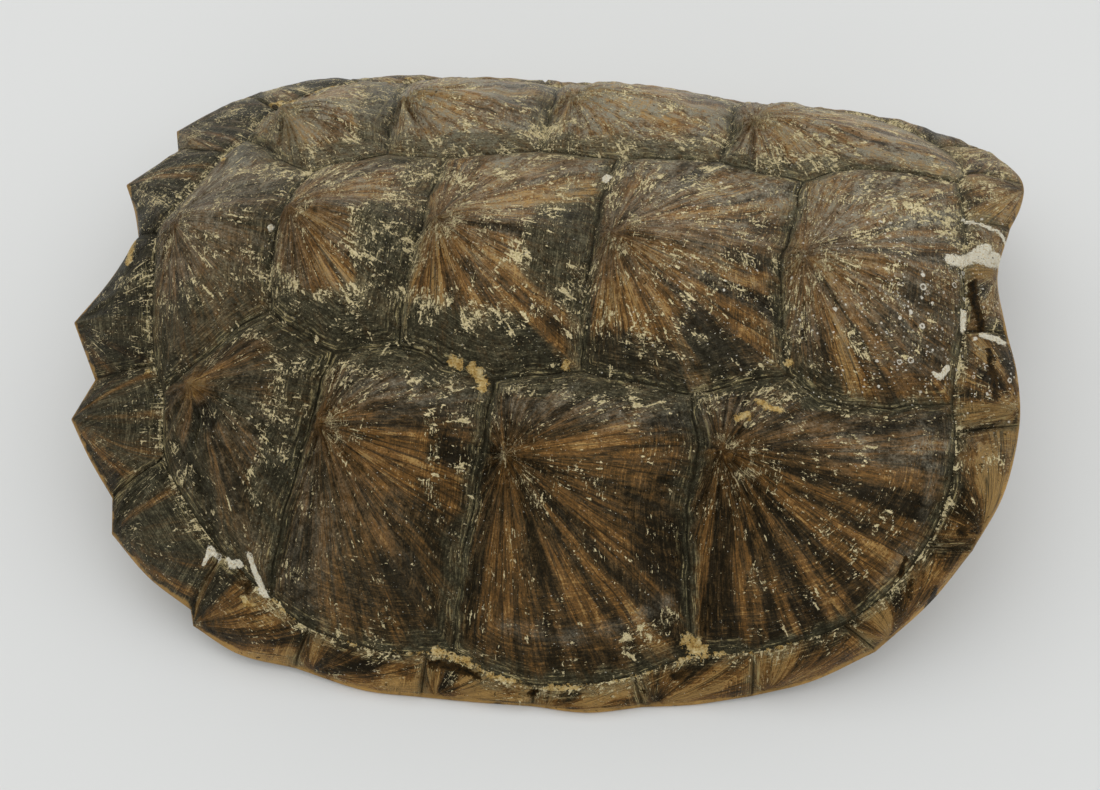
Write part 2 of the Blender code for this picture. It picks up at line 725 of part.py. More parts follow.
def clear_scene():
    for old in list(bpy.data.objects):
        bpy.data.objects.remove(old, do_unlink=True)


def main():
    clear_scene()
    skin = Skin(Dome(dome_places()))
    for side in (-1, 1):
        lay_side_seams(skin, side)
    lay_cross_seams(skin)
    grow_scutes(skin)
    round_rim = stations(skin)
    loop, at = grow_rim(skin, round_rim)
    grow_inside(skin, round_rim, loop, at)
    make_object(skin)


main()
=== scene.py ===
"""Looks of a snapping turtle's upper shell, built over its plain CAD solid.

One closed mesh stands for the CAD solid. Its dome, seams, scutes and rim follow the
same named places, with the growth rings, ridges and wear of the real horn added.
Sizes are millimetres here, and the mesh is in metres. +X is the head end.
"""

import math
from functools import reduce

import bpy
import numpy as np
from mathutils import Matrix, Vector


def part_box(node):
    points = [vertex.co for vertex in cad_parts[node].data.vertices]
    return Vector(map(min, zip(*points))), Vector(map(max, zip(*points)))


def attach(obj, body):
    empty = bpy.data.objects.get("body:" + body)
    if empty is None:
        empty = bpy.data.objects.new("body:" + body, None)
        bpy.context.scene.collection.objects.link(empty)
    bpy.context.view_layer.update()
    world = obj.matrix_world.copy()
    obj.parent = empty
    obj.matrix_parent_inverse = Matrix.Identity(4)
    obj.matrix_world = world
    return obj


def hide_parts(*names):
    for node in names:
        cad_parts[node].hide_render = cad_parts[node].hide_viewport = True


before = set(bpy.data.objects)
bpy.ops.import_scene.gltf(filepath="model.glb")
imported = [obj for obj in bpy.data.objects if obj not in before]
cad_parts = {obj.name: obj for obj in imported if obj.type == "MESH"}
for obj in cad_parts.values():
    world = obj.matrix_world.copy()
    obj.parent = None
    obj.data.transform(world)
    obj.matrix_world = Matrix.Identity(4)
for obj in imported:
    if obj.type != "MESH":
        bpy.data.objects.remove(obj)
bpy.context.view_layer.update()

NODE = "carapace"
MM = 0.001

# ---- driving places
# Thirteen large scutes: five in the middle (v1 at the head end to v5 at the tail) and
# four on each side (c1 to c4). A nuchal scute in front and twelve marginal scutes on
# each side (m1 to m12) make the rim. Each place is given for one half of the shell as
# (forward, out from the midline, up).
CORNERS = {
    "v5_v4_c4": (-96, 33, 67),
    "v4_c4_c3": (-70, 46.5, 64),
    "v4_v3_c3": (-47, 43.5, 67),
    "v3_c3_c2": (-12, 53, 64),
    "v3_v2_c2": (18, 48.5, 67),
    "v2_c2_c1": (56.5, 53, 64),
    "v2_v1_c1": (88.5, 43.5, 66),
}
# Places that a seam passes on its way between two corners.
SEAM_BENDS = {
    "v5_c4": ((-107, 38.5, 64), (-118, 50, 58)),
    "v1_c1": ((103, 52, 63), (124, 53, 61)),
    "c4_c3": ((-73, 60, 60), (-75, 80, 53.5), (-80, 104.5, 37)),
    "c3_c2": ((-12, 70, 59.5), (-12.5, 92, 51), (-14.7, 109.5, 38),
              (-16, 124.5, 22)),
    "c2_c1": ((60, 70, 59.5), (60, 94, 49.5), (63, 113, 29.5)),
}
# Seams across the middle row: a place half way out, and the place on the midline.
CROSS_SEAMS = {
    "v5_v4": ((-98.5, 18, 72.5), (-99, 0, 76.5)),
    "v4_v3": ((-47.5, 22, 73), (-47, 0, 77)),
    "v3_v2": ((15.5, 25, 71.5), (16, 0, 75.5)),
    "v2_v1": ((85.5, 23, 69), (83, 0, 71.5)),
    "v1_nuchal": ((149, 12, 64), (147.5, 0, 65)),
}
# Inner edge of the rim. The key counts seams between marginal scutes, from 0 beside
# the nuchal scute to 12 on the midline at the tail: 2 is the seam of m2 and m3.
RIM_INNER = {
    0: (149, 24.5, 62),
    0.7: (146.5, 50, 58.5),
    1: (148.5, 58, 55.5),
    1.5: (147.5, 75, 47),
    2: (141.5, 90.5, 38),
    2.5: (131, 104, 31.5),
    3: (116, 116, 25),
    3.5: (102, 121.5, 20.5),
    4: (87, 125.5, 16.5),
    4.6: (66, 128, 13.5),
    5: (47, 135, 9),
    5.5: (29, 139, 6.5),
    6: (13.5, 140.5, 5.8),
    6.5: (-3, 138.5, 8),
    6.8: (-16.5, 134.5, 12.5),
    7: (-25, 135, 12.2),
    7.5: (-43.5, 135.5, 12.5),
    8: (-67, 131.5, 16.5),
    8.5: (-82, 123.5, 21.5),
    9: (-100, 112.5, 31),
    9.5: (-114, 99.5, 37.5),
    10: (-127, 83.5, 42.5),
    10.7: (-132.5, 61, 49),
    11: (-138, 51, 51),
    11.5: (-145, 29, 53.5),
    12: (-152, 0, 56),
}
# Free edge of the rim, keyed the same way. True marks a notch or a tooth.
RIM_OUTER = {
    0: ((164.5, 24, 60), True),
    0.5: ((168.5, 38, 58), False),
    1: ((170, 54, 54.5), False),
    1.5: ((166.5, 72.5, 47), False),
    2: ((158, 89.5, 37.5), True),
    2.5: ((145.5, 104.5, 25.5), False),
    3: ((128, 119.5, 15), True),
    3.5: ((108, 129, 7.5), False),
    4: ((88, 135, 3.8), True),
    4.5: ((68, 139.5, 2), False),
    5: ((51, 142, 2), True),
    5.5: ((32, 146, 2), False),
    6: ((13, 145.5, 2), True),
    6.5: ((-6, 146, 2), False),
    7: ((-26, 146, 2), True),
    7.5: ((-47, 145.5, 2), False),
    8: ((-72, 140.5, 4), True),
    8.5: ((-93, 138, 6), False),
    8.91: ((-110.5, 130.5, 9.5), True),
    9: ((-111, 127, 15.5), True),
    9.4: ((-128, 119, 20), False),
    9.8: ((-144, 107, 24.5), True),
    10: ((-144.5, 97, 33), True),
    10.35: ((-156, 84, 36.5), False),
    10.7: ((-166.5, 70, 39), True),
    11: ((-160.5, 55.5, 44), True),
    11.4: ((-174.5, 33.5, 47.5), True),
    11.7: ((-167, 18, 48.5), False),
    12: ((-160.5, 0, 50), True),
}
NUCHAL_EDGE = (160.5, 0, 60.5)
# Growth centres: forward, out from the midline, height above the even dome.
PEAKS = {
    "v5": (-138, 0, 6.5),
    "v4": (-93, 0, 8.5),
    "v3": (-41, 0, 7.5),
    "v2": (21.5, 0, 6.5),
    "v1": (89.5, 0, 5),
    "c4": (-113, 61.5, 8),
    "c3": (-69, 73.5, 6.5),
    "c2": (-3.5, 79.5, 6),
    "c1": (68, 72.5, 5.5),
}

# The two halves aren't equal: the left one grew further forward, and both ends turn.
# How much, then where along the shell that starts and the length it takes to get there,
# which is negative where it runs toward the tail.
LEFT_LEAD = 0.035
LEFT_LEAD_IN_FRONT = (0.025, 120.0, 50.0)
HEAD_TURN = (9.5, 75.0, 85.0)
TAIL_TURN = (2.5, -110.0, -40.0)
NOTCH_TURN = (6.0, -135.0, -25.0)
HEAD_TURN_HALF_WIDTH = 75.0
NOTCH_HALF_WIDTH = 30.0

DOME_EASE = 40.0
PEAK_SHARPNESS = 1.35
KEEL_HEIGHT = 3.0
KEEL_WIDTH = 8.0
TERRACE_STEP = 1.2
TERRACES = (0.62, 0.86)
GROOVE_DEPTH = 0.9
GROOVE_HALF_WIDTH = 1.5
RIM_BULGE = 1.6
SIDE_BULGE = 1.8
TOOTH_RIDGE = 1.2
WALL = 5.0
WALL_AT_RIM = 6.5
EDGE = 2.0
FOOT_WIDTH = 5.5
FOOT_KEYS = (3.7, 4.6, 7.55, 8.4)
SPINE_HEIGHT = 4.5
SPINE_HALF_WIDTH = 9.0
SPINE_REACH = 88.0
INSIDE_RIB_HEIGHT = 1.5
INSIDE_RIB_GAP = 34.0
INSIDE_RIB_START = -20.0

# ---- looks: fans of colour
# Sectors of each scute, seen from its growth centre: from and to in degrees (0 is
# forward, negative is down the right side), then from and to as a share of the way to
# the seam, then how amber (+) or how dark (-) the horn is there.
FANS = {
    "c1": ((-99, -92, 0.3, 1, 0.7), (-91, -78, 0.25, 1, -0.7), (-77, -73, 0.2, 1, 0.3),
           (-73, -70, 0.3, 1, -0.6), (-69, -66, 0.3, 0.9, 0.5), (-66, -61, 0.35, 1, -0.6),
           (-60, -56, 0.3, 1, 0.6), (-55, -51, 0.4, 0.9, -0.5), (-50, -47, 0.3, 1, -0.7),
           (-46, -41, 0.3, 1, 0.7), (-37, -34, 0.3, 1, -0.9), (-33, -31, 0.2, 0.8, -0.8),
           (-30, -26, 0.3, 1, 0.7), (-24, -20, 0.3, 1, 0.8), (-19, -17, 0.3, 1, -0.6),
           (-15, -11, 0.3, 1, 0.7), (-10, -4, 0.15, 0.9, -1), (-2, 3, 0.5, 1, 0.8),
           (3, 5, 0.4, 1, -0.7), (6, 13, 0.4, 1, 0.8), (14, 17, 0.2, 0.9, -0.5),
           (26, 31, 0.3, 0.6, -0.8), (48, 62, 0.25, 0.6, 0.3), (57, 61, 0.5, 0.8, -0.7)),
    "c2": ((-109, -100, 0.5, 1, -0.5), (-98, -72, 0.35, 0.75, 0.75), (-82, -78, 0.6, 1, -0.6),
           (-72, -66, 0.4, 1, -0.4), (-62, -58, 0.3, 0.9, -0.6), (-57, -48, 0.3, 1, 0.3),
           (-47, -44, 0.3, 1, -0.8), (-43, -38, 0.2, 1, 0.7), (-37, -33, 0.2, 1, -1),
           (-31, -17, 0.2, 0.62, 0.6), (-30, -24, 0.65, 0.95, -0.7), (-23, -19, 0.3, 1, -0.6),
           (-18, -10, 0.7, 0.95, -0.9), (-8, 10, 0.2, 0.85, 0.6), (0, 3, 0.5, 1, -0.5),
           (10, 20, 0.2, 0.65, 0.9), (14, 18, 0.7, 1, -0.9), (66, 70, 0.5, 0.9, 0.2)),
    "c3": ((-112, -85, 0.5, 1, -0.6), (-82, -76, 0.3, 1, 0.2), (-74, -70, 0.4, 1, -0.4),
           (-66, -58, 0.3, 1, 0.2), (-57, -44, 0.6, 0.92, -1.1), (-46, -40, 0.75, 1, 0.9),
           (-38, -28, 0.5, 0.9, -1), (-30, -2, 0.25, 0.6, 0.8), (-20, -14, 0.6, 0.9, 0.6),
           (-12, -2, 0.65, 0.95, -0.9), (4, 18, 0.35, 0.9, -0.6)),
    "c4": ((-98, -92, 0.12, 0.8, -1.2), (-90, -86, 0.2, 0.8, 0.3), (-84, -78, 0.12, 0.7, -1.2),
           (-76, -70, 0.2, 0.8, 0.2), (-70, -60, 0.2, 0.6, -0.6), (-50, -20, 0.6, 1, -0.7),
           (-20, 10, 0.2, 0.6, -0.3), (10, 50, 0.3, 0.6, -0.2), (-5, 60, 0.7, 1, -0.5)),
    "v1": ((-95, -72, 0.45, 1, -0.9), (-70, -62, 0.4, 1, 0.6), (-60, -54, 0.5, 1, -0.9),
           (-45, -30, 0.5, 0.9, -0.9), (-28, -22, 0.3, 1, 0.3), (-20, -5, 0.6, 1, -0.9),
           (5, 12, 0.2, 1, -1.1), (13, 16, 0.4, 1, 0.5), (17, 21, 0.3, 1, -1.1),
           (22, 26, 0.4, 1, 0.5), (27, 31, 0.4, 1, -0.9),
           (34, 46, 0.3, 0.7, 0.8), (50, 64, 0.6, 1, -0.6), (66, 90, 0.6, 1, 0.3)),
    "v2": ((-96, -60, 0.3, 0.62, 0.8), (-58, -40, 0.3, 0.6, 0.6), (-100, -58, 0.68, 1, -1.3),
           (-57, -50, 0.65, 1, 0.1), (-49, -38, 0.55, 1, -1.6), (-40, -34, 0.3, 1, -1.2),
           (-32, -24, 0.1, 0.95, 0.5), (-23, -16, 0.5, 1, -1.3), (-14, -6, 0.3, 0.9, 0.5),
           (-5, 2, 0.4, 1, -0.9), (4, 18, 0.4, 1, 0.1), (20, 28, 0.25, 1, 0.8),
           (28, 33, 0.4, 1, -1), (34, 40, 0.3, 1, 0.6), (48, 56, 0.3, 1, -0.9),
           (60, 64, 0.3, 1, -0.5)),
    "v3": ((-82, -74, 0.35, 0.6, 0.6), (-74, -62, 0.3, 0.6, -0.8), (-60, -54, 0.3, 0.6, 0.3),
           (-100, -42, 0.66, 1, -1.4), (-52, -42, 0.3, 1, -1), (-41, -30, 0.3, 0.95, -0.3),
           (-37, -33, 0.4, 1, -0.9), (-28, 14, 0.62, 1, -1), (-26, -10, 0.3, 0.55, 0.3),
           (-8, 4, 0.25, 0.6, -0.7), (18, 32, 0.3, 0.85, 0.9), (10, 17, 0.4, 0.9, -0.8),
           (36, 44, 0.3, 0.8, -0.7), (60, 72, 0.4, 0.7, 0.4)),
    "v4": ((-90, -70, 0.3, 0.55, -0.5), (-48, -36, 0.2, 0.7, 0.4), (-24, -8, 0.3, 0.55, 0.2),
           (-100, 12, 0.66, 1, -1.3), (-34, -26, 0.25, 0.6, -0.9), (-4, 10, 0.3, 0.6, -0.6),
           (18, 42, 0.25, 0.62, 0.6), (28, 34, 0.7, 1, 0.4), (44, 54, 0.3, 0.9, -0.8)),
    "v5": ((-92, -70, 0.4, 1, -0.4), (-60, -40, 0.3, 1, -0.3), (-32, -12, 0.2, 0.8, 0.3),
           (10, 40, 0.2, 0.6, -0.2), (60, 90, 0.2, 0.7, 0.2)),
}
# Dark slate growth bands in the outer part of a scute: sector, then the share where
# the band starts, then how strong it is.
SLATE_BANDS = {
    "c1": ((20, 120, 0.78, 1), (-100, 20, 0.97, 0.5)),
    "c2": ((18, 115, 0.72, 0.9), (-110, 18, 0.94, 0.7)),
    "c3": ((15, 100, 0.70, 0.9), (-60, 15, 0.90, 0.8), (-115, -60, 0.95, 0.5)),
    "c4": ((-60, 80, 0.66, 0.9), (-130, -60, 0.80, 0.6)),
    "v1": ((-100, -70, 0.80, 0.6), (100, 180, 0.5, 0.5)),
    "v2": ((-100, -36, 0.72, 0.45), (-36, 60, 0.93, 0.6)),
    "v3": ((-100, -42, 0.60, 1), (-28, 20, 0.60, 0.9), (-42, 50, 0.90, 0.7), (50, 110, 0.86, 0.5)),
    "v4": ((-100, 12, 0.58, 1), (12, 60, 0.72, 0.8), (60, 110, 0.88, 0.5)),
    "v5": ((-100, -34, 0.50, 0.7), (-34, 80, 0.80, 0.6), (100, 180, 0.6, 0.5)),
}

# How amber (+) or dark (-) a whole scute is, how much slate lies over it, and how much
# cream lies on the pleats round its growth centre.
SCUTE_CAST = {
    "c1": (-0.2, 0, 0.4), "c2": (-0.2, 0.05, 0.3), "c3": (-0.1, 0.2, 0.8), "c4": (-0.1, 0.75, 0),
    "v1": (0.75, 0.1, 0.2), "v2": (0.5, 0.05, 0.3), "v3": (1, 0.05, 0.7), "v4": (0.75, 0.1, 0.4),
    "v5": (0.3, 0.4, 0.3),
}
# The hooked knob on the growth centre of c4, higher on the right side: its height and
# width. The hollow below it and a crease: depth, then where it is, then its width. The
# horn in both is also painted darker as shade.
HOOK = (4.5, 6.5)
HOLLOW = (4.2, (-112, -70.5), 6)
CREASE = (2.2, ((-124.5, -80), (-116, -88.3), (-110.3, -95.2), (-107.9, -110)), 5)

# Slate bands that start closer in than this have a row of cream flecks where they start.
FLECKED_BELOW = 0.88

# Patches seen in one place only: width, then the places that each one runs through.
# Filler is yellow-cream, flecks are cream, and chalk is white.
FILLER_PATCHES = (
    (3.4, ((-20, -50), (-16, -54), (-16, -57))),
    (2.8, ((-28, -48), (-25, -49))),
    (2.4, ((-26, -134), (-20, -135), (-14, -136))),
    (2.6, ((12, -47),)),
    (2.6, ((88, -39),)),
    (2.2, ((-94, -125), (-91, -126))),
    (3.6, ((61, -124), (66, -126))),
    (2.8, ((72, -63), (75, -62))),
    (2.2, ((78, -56), (86, -58))),
    (2, ((-126, 88), (-112, 93), (-104, 99), (-96, 110))),
    (2.4, ((-82, 113),)),
    (2.4, ((-77, 127),)),
    (2, ((-139, -52),)),
    (2.2, ((-132, 43),)),
    (2.8, ((-160, 4), (-158, -7))),
)
FLECK_PATCHES = (
    (6, ((40, -126), (48, -123), (53, -118))),
    (5, ((74, -61), (81, -56), (89, -53))),
    (4, ((-34, -63), (-31, -78), (-30, -89))),
    (5, ((-60, -63), (-56, -61))),
    (5.5, ((-87, -48), (-81, -56))),
    (4, ((-84, -69), (-84, -82))),
    (5, ((-23, -36), (-15, -42))),
    (4.5, ((-44, -24), (-39, -35))),
    (4.5, ((29, -32), (40, -35), (57, -31))),
    (5, ((87, 0), (86, -15), (90, -30))),
    (5, ((-73, -30), (-65, -40))),
    (4, ((107, -28), (112, -33))),
    (4.5, ((-113, -16), (-108, -25))),
)
# Painted highlights: pale arcs on the growth ledges of the right side's front scutes, where the
# window reflects.
HIGHLIGHT_ARCS = (
    (3, ((-4, -126), (17, -128), (38, -123), (52, -115))),
    (3.5, ((138, -69), (135, -89), (121, -105))),
)
CHALK_PATCHES = (
    (3.9, ((144, 10), (150, 12), (157, 18))),
    (4, ((151, 13), (158, 12), (162, 16))),
    (1.4, ((150, 33), (156, 31), (163, 28), (166, 24))),
    (1.9, ((155, -18.3), (162.5, -20.5))),
    (1.3, ((148.5, -9), (148.3, -17))),
    (1.5, ((143, -33), (140, -38), (138, -37))),
    (2.2, ((18, 35), (19, 37))),
    (2.2, ((-100, -3),)),
    (1.5, ((-107, -111), (-103, -113.5), (-99.5, -114.7), (-96, -115))),
    (1.5, ((-92.6, -113), (-90.5, -117), (-88.4, -120.4), (-86, -123.6))),
    (1.3, ((-106, -111.5), (-109, -116))),
)
# Black spots, some of them painted shadows under broken edges beside the filler.
BLACK_SPOTS_AND_SHADOWS = (
    (3, ((150, -86),)),
    (2, ((-97, -117), (-93, -121.5))),
    (1.6, ((-27, -137.5), (-18.5, -138.2), (-9.6, -140))),
    (1.3, ((8, -143), (11, -142))),
    (1.3, ((47, -139),)),
    (1.5, ((56, -134), (60, -133))),
    (2.3, ((152, 2), (152.5, -6), (155, -15))),
    (1.9, ((157, -24), (158.5, -34), (160, -42))),
    (1.4, ((134.5, -101.5), (134, -106.5))),
    (1.4, ((143, -102), (141, -107))),
    (1.3, ((132, -95), (130.5, -99.5))),
    (1.2, ((-116, 80), (-104, 87), (-96, 100))),
)
# The pale filled seam between the right side scutes and the rim: from and to, as keys
# of the rim's inner edge, and the width.
FILLED_SEAMS = ((3.3, 4.2, 1.2), (4.3, 6.9, 1.7), (6.9, 8.6, 0.9))
FILLER_RISE = 0.5

# ---- looks: fine sizes
SPACING = 1.28
INSIDE_SPACING = 2.8
INSIDE_RINGS = 42
MARGINALS = 12
RIM_SCUTES = 2 * MARGINALS + 1
RIM_SEED = 40.0
FLAT = (1.0, 1.0, 0.0)
GROWTH_RINGS = 9.0
# Heights of the fine relief in mm. The roof and the crest of the keel have widths too.
RIDGE = 0.6
RIDGE_FINE = 0.42
RING_STEP = 0.6
LUMP = 0.45
LUMP_FINE = 0.18
GRAIN = 0.07
ROOF = (3.6, 26.0)
CREST = (3.4, 3.0)
RIM_RIDGE = 0.4
RIM_LUMP = 0.45
RIM_LUMP_FINE = 0.25
EDGE_BULGE = 0.35
TOE_SHARE = 0.38
# How far a seam strays to the side, in wide waves and in small ones, and up and down.
SEAM_STRAY = (0.7, 0.35)
GROOVE_STRAY = 0.25
# The growth centres of the pointed rim scutes, in scutes round the rim from the tail.
TOOTH_TIPS = {0: 0.6, 1: 1.3, 2: 2.2, 3: 3.09, 24: 24.4, 23: 23.7, 22: 22.8, 21: 21.91}
# The third band number is 0 in the middle row, 1 in the side rows, and on the rim 2
# and the distance to the free edge, made small.
RIM_KIND = 2.0
EDGE_SCALE = 0.01
# The sectors of the colour fans stray this far, in degrees: in wide waves and small ones.
FAN_STRAY = (1.2, 0.5)


# ---- small helpers
def smooth(value):
    """Ease from 0 to 1."""
    value = np.clip(value, 0.0, 1.0)
    return value * value * (3.0 - 2.0 * value)


def bell(value, width):
    """1 at nothing, falling off evenly to both sides."""
    return np.exp(-(value / width) ** 2)


def lengths(rows):
    return np.linalg.norm(rows, axis=1)


def run_of(line):
    """Length of an open line of points."""
    return lengths(np.diff(line, axis=0)).sum()


def part_way(x, change):
    """How much of a change there is at x: none before its start, all after its reach."""
    amount, start, reach = change
    return amount * smooth((x - start) / reach)


def settle(point, side):
    """Put a half-shell place on a side (-1 right, 1 left), leaning as the shell does."""
    x, out, z = point
    turn = part_way(x, HEAD_TURN) * max(0.0, 1.0 - (out / HEAD_TURN_HALF_WIDTH) ** 2)
    turn += part_way(x, TAIL_TURN)
    turn += part_way(x, NOTCH_TURN) * max(0.0, 1.0 - out / NOTCH_HALF_WIDTH)
    lead = LEFT_LEAD + part_way(x, LEFT_LEAD_IN_FRONT)
    return np.array([x + lead * side * out, side * out + turn, z])


def curve(keys, points, wanted, kinks=()):
    """Smooth curve through keyed points, read at the wanted keys, with some corners."""
    keys = np.asarray(keys, float)
    points = np.asarray(points, float)
    slope = np.diff(points, axis=0) / np.diff(keys)[:, None]
    leave = np.vstack([slope, slope[-1:]])
    arrive = np.vstack([slope[:1], slope])
    for index in range(1, len(keys) - 1):
        if index not in kinks:
            rise = points[index + 1] - points[index - 1]
            leave[index] = rise / (keys[index + 1] - keys[index - 1])
            arrive[index] = leave[index]
    wanted = np.atleast_1d(wanted)
    low = np.clip(np.searchsorted(keys, wanted, side="right") - 1, 0, len(keys) - 2)
    span = (keys[low + 1] - keys[low])[:, None]
    t = (wanted - keys[low])[:, None] / span
    from_low = (1 + 2 * t) * (1 - t) ** 2 * points[low] + t * (1 - t) ** 2 * span * leave[low]
    to_high = t * t * (3 - 2 * t) * points[low + 1] + t * t * (t - 1) * span * arrive[low + 1]
    return from_low + to_high


def along(points, count):
    """Places at even distances along an open line of points."""
    points = np.asarray(points, float)
    keys = np.concatenate([[0.0], np.cumsum(lengths(np.diff(points, axis=0)))])
    return curve(keys, points, np.linspace(0.0, keys[-1], count + 1))


def read_loop(loop, count):
    """Places at even steps of index round a closed loop of points."""
    at = np.arange(count) * len(loop) / count
    low = np.floor(at).astype(int)
    part = (at - low)[:, None]
    return loop[low % len(loop)] * (1 - part) + loop[(low + 1) % len(loop)] * part


def rim_inner(keys, side):
    points = [settle(point, side) for point in RIM_INNER.values()]
    return curve(list(RIM_INNER), points, keys)


def rim_outer(keys, side):
    points = [settle(point, side) for point, _ in RIM_OUTER.values()]
    kinks = [index for index, (_, kink) in enumerate(RIM_OUTER.values()) if kink]
    edge = curve(list(RIM_OUTER), points, keys, kinks)
    edge[:, 2] = np.maximum(edge[:, 2], EDGE)
    return edge


def lattice(cell, seed):
    """Even random numbers from -1 to 1 for whole-number cells."""
    mixed = cell.astype(np.uint32) * np.array([374761393, 668265263, 2246822519], np.uint32)
    value = mixed.sum(axis=1, dtype=np.uint32) + np.uint32(seed * 3266489917 % 2 ** 32)
    value = (value ^ (value >> 13)) * np.uint32(1274126177)
    value = (value ^ (value >> 16)) * np.uint32(2654435761)
    return (value >> 8) / 2 ** 23 - 1.0


def noise(places, seed):
    """Smooth random field of places with one to three coordinates, from -1 to 1."""
    places = np.asarray(places, float)
    if places.ndim == 1:
        places = places[:, None]
    places = np.column_stack([places, np.zeros((len(places), 3 - places.shape[1]))])
    floor = np.floor(places)
    ease = smooth(places - floor)
    cell = floor.astype(np.int64)
    total = np.zeros(len(places))
    for corner in np.ndindex(2, 2, 2):
        weight = np.prod(np.where(corner, ease, 1.0 - ease), axis=1)
        total += weight * lattice(cell + np.array(corner), seed)
    return total


def fan_noise(way, spread, along, seed):
    """Noise drawn out along the rays of a fan."""
    return noise(np.column_stack([way * spread, np.full(len(way), along)]), seed)


def fan_of(offset, least):
    """How far each place is from the middle of a fan, and which way."""
    away = lengths(offset)
    return away, offset / np.maximum(away, least)[:, None]


# ---- the even dome
class Dome:
    """Bending-plate surface through the seam places: a height for a plan position."""

    def __init__(self, points):
        points = np.asarray(points, float)
        self.sites = points[:, :2]
        count = len(points)
        system = np.zeros((count + 3, count + 3))
        system[:count, :count] = self.pull(self.sites) + np.eye(count) * DOME_EASE
        system[:count, count] = 1.0
        system[:count, count + 1:] = self.sites
        system[count:, :count] = system[:count, count:].T
        known = np.concatenate([points[:, 2], np.zeros(3)])
        self.weights = np.linalg.solve(system, known)

    def pull(self, plan):
        gap = plan[:, None, :] - self.sites[None, :, :]
        squared = np.maximum((gap ** 2).sum(-1), 1e-9)
        return 0.5 * squared * np.log(squared)

    def height(self, plan):
        count = len(self.sites)
        flat = self.weights[count] + plan @ self.weights[count + 1:]
        return self.pull(plan) @ self.weights[:count] + flat

    def normal(self, plan):
        nudge = 1.5
        along_x = self.height(plan + [nudge, 0.0]) - self.height(plan - [nudge, 0.0])
        along_y = self.height(plan + [0.0, nudge]) - self.height(plan - [0.0, nudge])
        normal = np.stack([-along_x, -along_y, np.full(len(plan), 2 * nudge)], axis=1)
        return normal / lengths(normal)[:, None]

    def lift(self, plan, relief):
        """Points over a plan, raised by relief along the surface normal."""
        plan = np.asarray(plan, float)[:, :2]
        base = np.column_stack([plan, self.height(plan)])
        return base + self.normal(plan) * np.reshape(relief, (-1, 1))


def dome_places():
    half = list(CORNERS.values()) + list(RIM_INNER.values())[:-1]
    half += [bend for bends in SEAM_BENDS.values() for bend in bends]
    half += [pair[0] for pair in CROSS_SEAMS.values()]
    middle = [pair[1] for pair in CROSS_SEAMS.values()] + [RIM_INNER[12.0]]
    places = [settle(point, side) for side in (-1, 1) for point in half]
    return places + [settle(point, 1) for point in middle]


# ---- mesh under way
class Skin:
    """Points and triangles, with the points of each seam shared by its neighbours.

    Each triangle's corners also carry where they are on their own scute: ray is the
    way from the growth centre in mm and the scute's number, and band is the share of
    the way to the seam, the gap to the seam in mm and the kind of scute. Shade is how
    amber (+) or dark (-), how slate and how flecked the horn is.
    """

    def __init__(self, dome):
        self.dome = dome
        self.points = []
        self.count = 0
        self.triangles = []
        self.looks = []
        self.bone = []
        self.seams = {}
        self.corners = {}
        self.patch_faces = []
        self.patch_rows = []

    def add(self, points, *looks):
        points = np.atleast_2d(points)
        numbers = np.arange(self.count, self.count + len(points))
        self.points.append(points)
        self.count += len(points)
        if looks:
            self.note(numbers, *looks)
        return numbers

    def note(self, numbers, rays, bands, shades):
        """Say where points are on the scute that is being made."""
        self.patch_rows.append((numbers, np.column_stack([rays, bands, shades])))

    def end_patch(self, bone=False):
        """Close the books on one scute."""
        table = np.zeros((self.count, 9))
        for numbers, rows in self.patch_rows:
            table[numbers] = rows
        faces = np.array(self.patch_faces)
        self.triangles.append(faces)
        self.looks.append(table[faces].reshape(-1, 9))
        self.bone.append(np.full(len(faces), int(bone)))
        self.patch_faces = []
        self.patch_rows = []

    def corner(self, name, point):
        if name not in self.corners:
            self.corners[name] = self.add(point)[0]
        return self.corners[name]

    def lay_seam(self, name, start, end, plan):
        """Set one seam in its groove, from corner to corner."""
        stray = noise(plan[:, :2] / 9.0, 5) * GROOVE_STRAY
        points = self.dome.lift(plan, -GROOVE_DEPTH + stray)
        first = self.corner(start, points[0])
        last = self.corner(end, points[-1])
        self.seams[name] = np.concatenate([[first], self.add(points[1:-1]), [last]])

    def follow(self, path):
        """Point numbers round a closed path of (seam, direction)."""
        return np.concatenate([self.seams[name][::way][:-1] for name, way in path])

    def stitch(self, outer, inner, outer_at=None, inner_at=None, down=False):
        """Join two loops that run the same way round. Faces point up, or down."""
        outer = outer.tolist()
        inner = inner.tolist()
        outer_at = even(len(outer)) if outer_at is None else list(outer_at)
        inner_at = even(len(inner)) if inner_at is None else list(inner_at)
        outer_at.append(outer_at[0] + 1.0)
        inner_at.append(inner_at[0] + 1.0)
        i = j = 0
        while i < len(outer) or j < len(inner):
            a = outer[i % len(outer)]
            b = inner[j % len(inner)]
            outer_next = outer_at[i + 1] if i < len(outer) else math.inf
            inner_next = inner_at[j + 1] if j < len(inner) else math.inf
            if outer_next <= inner_next:
                i += 1
                face = (a, outer[i % len(outer)], b)
            else:
                j += 1
                face = (a, inner[j % len(inner)], b)
            if face[0] != face[1] and face[1] != face[2] and face[0] != face[2]:
                self.patch_faces.append(face[::-1] if down else face)

    def close(self, loop, middle):
        for index, number in enumerate(loop):
            self.patch_faces.append((number, loop[(index + 1) % len(loop)], middle))


def even(count):
    return [index / count for index in range(count)]


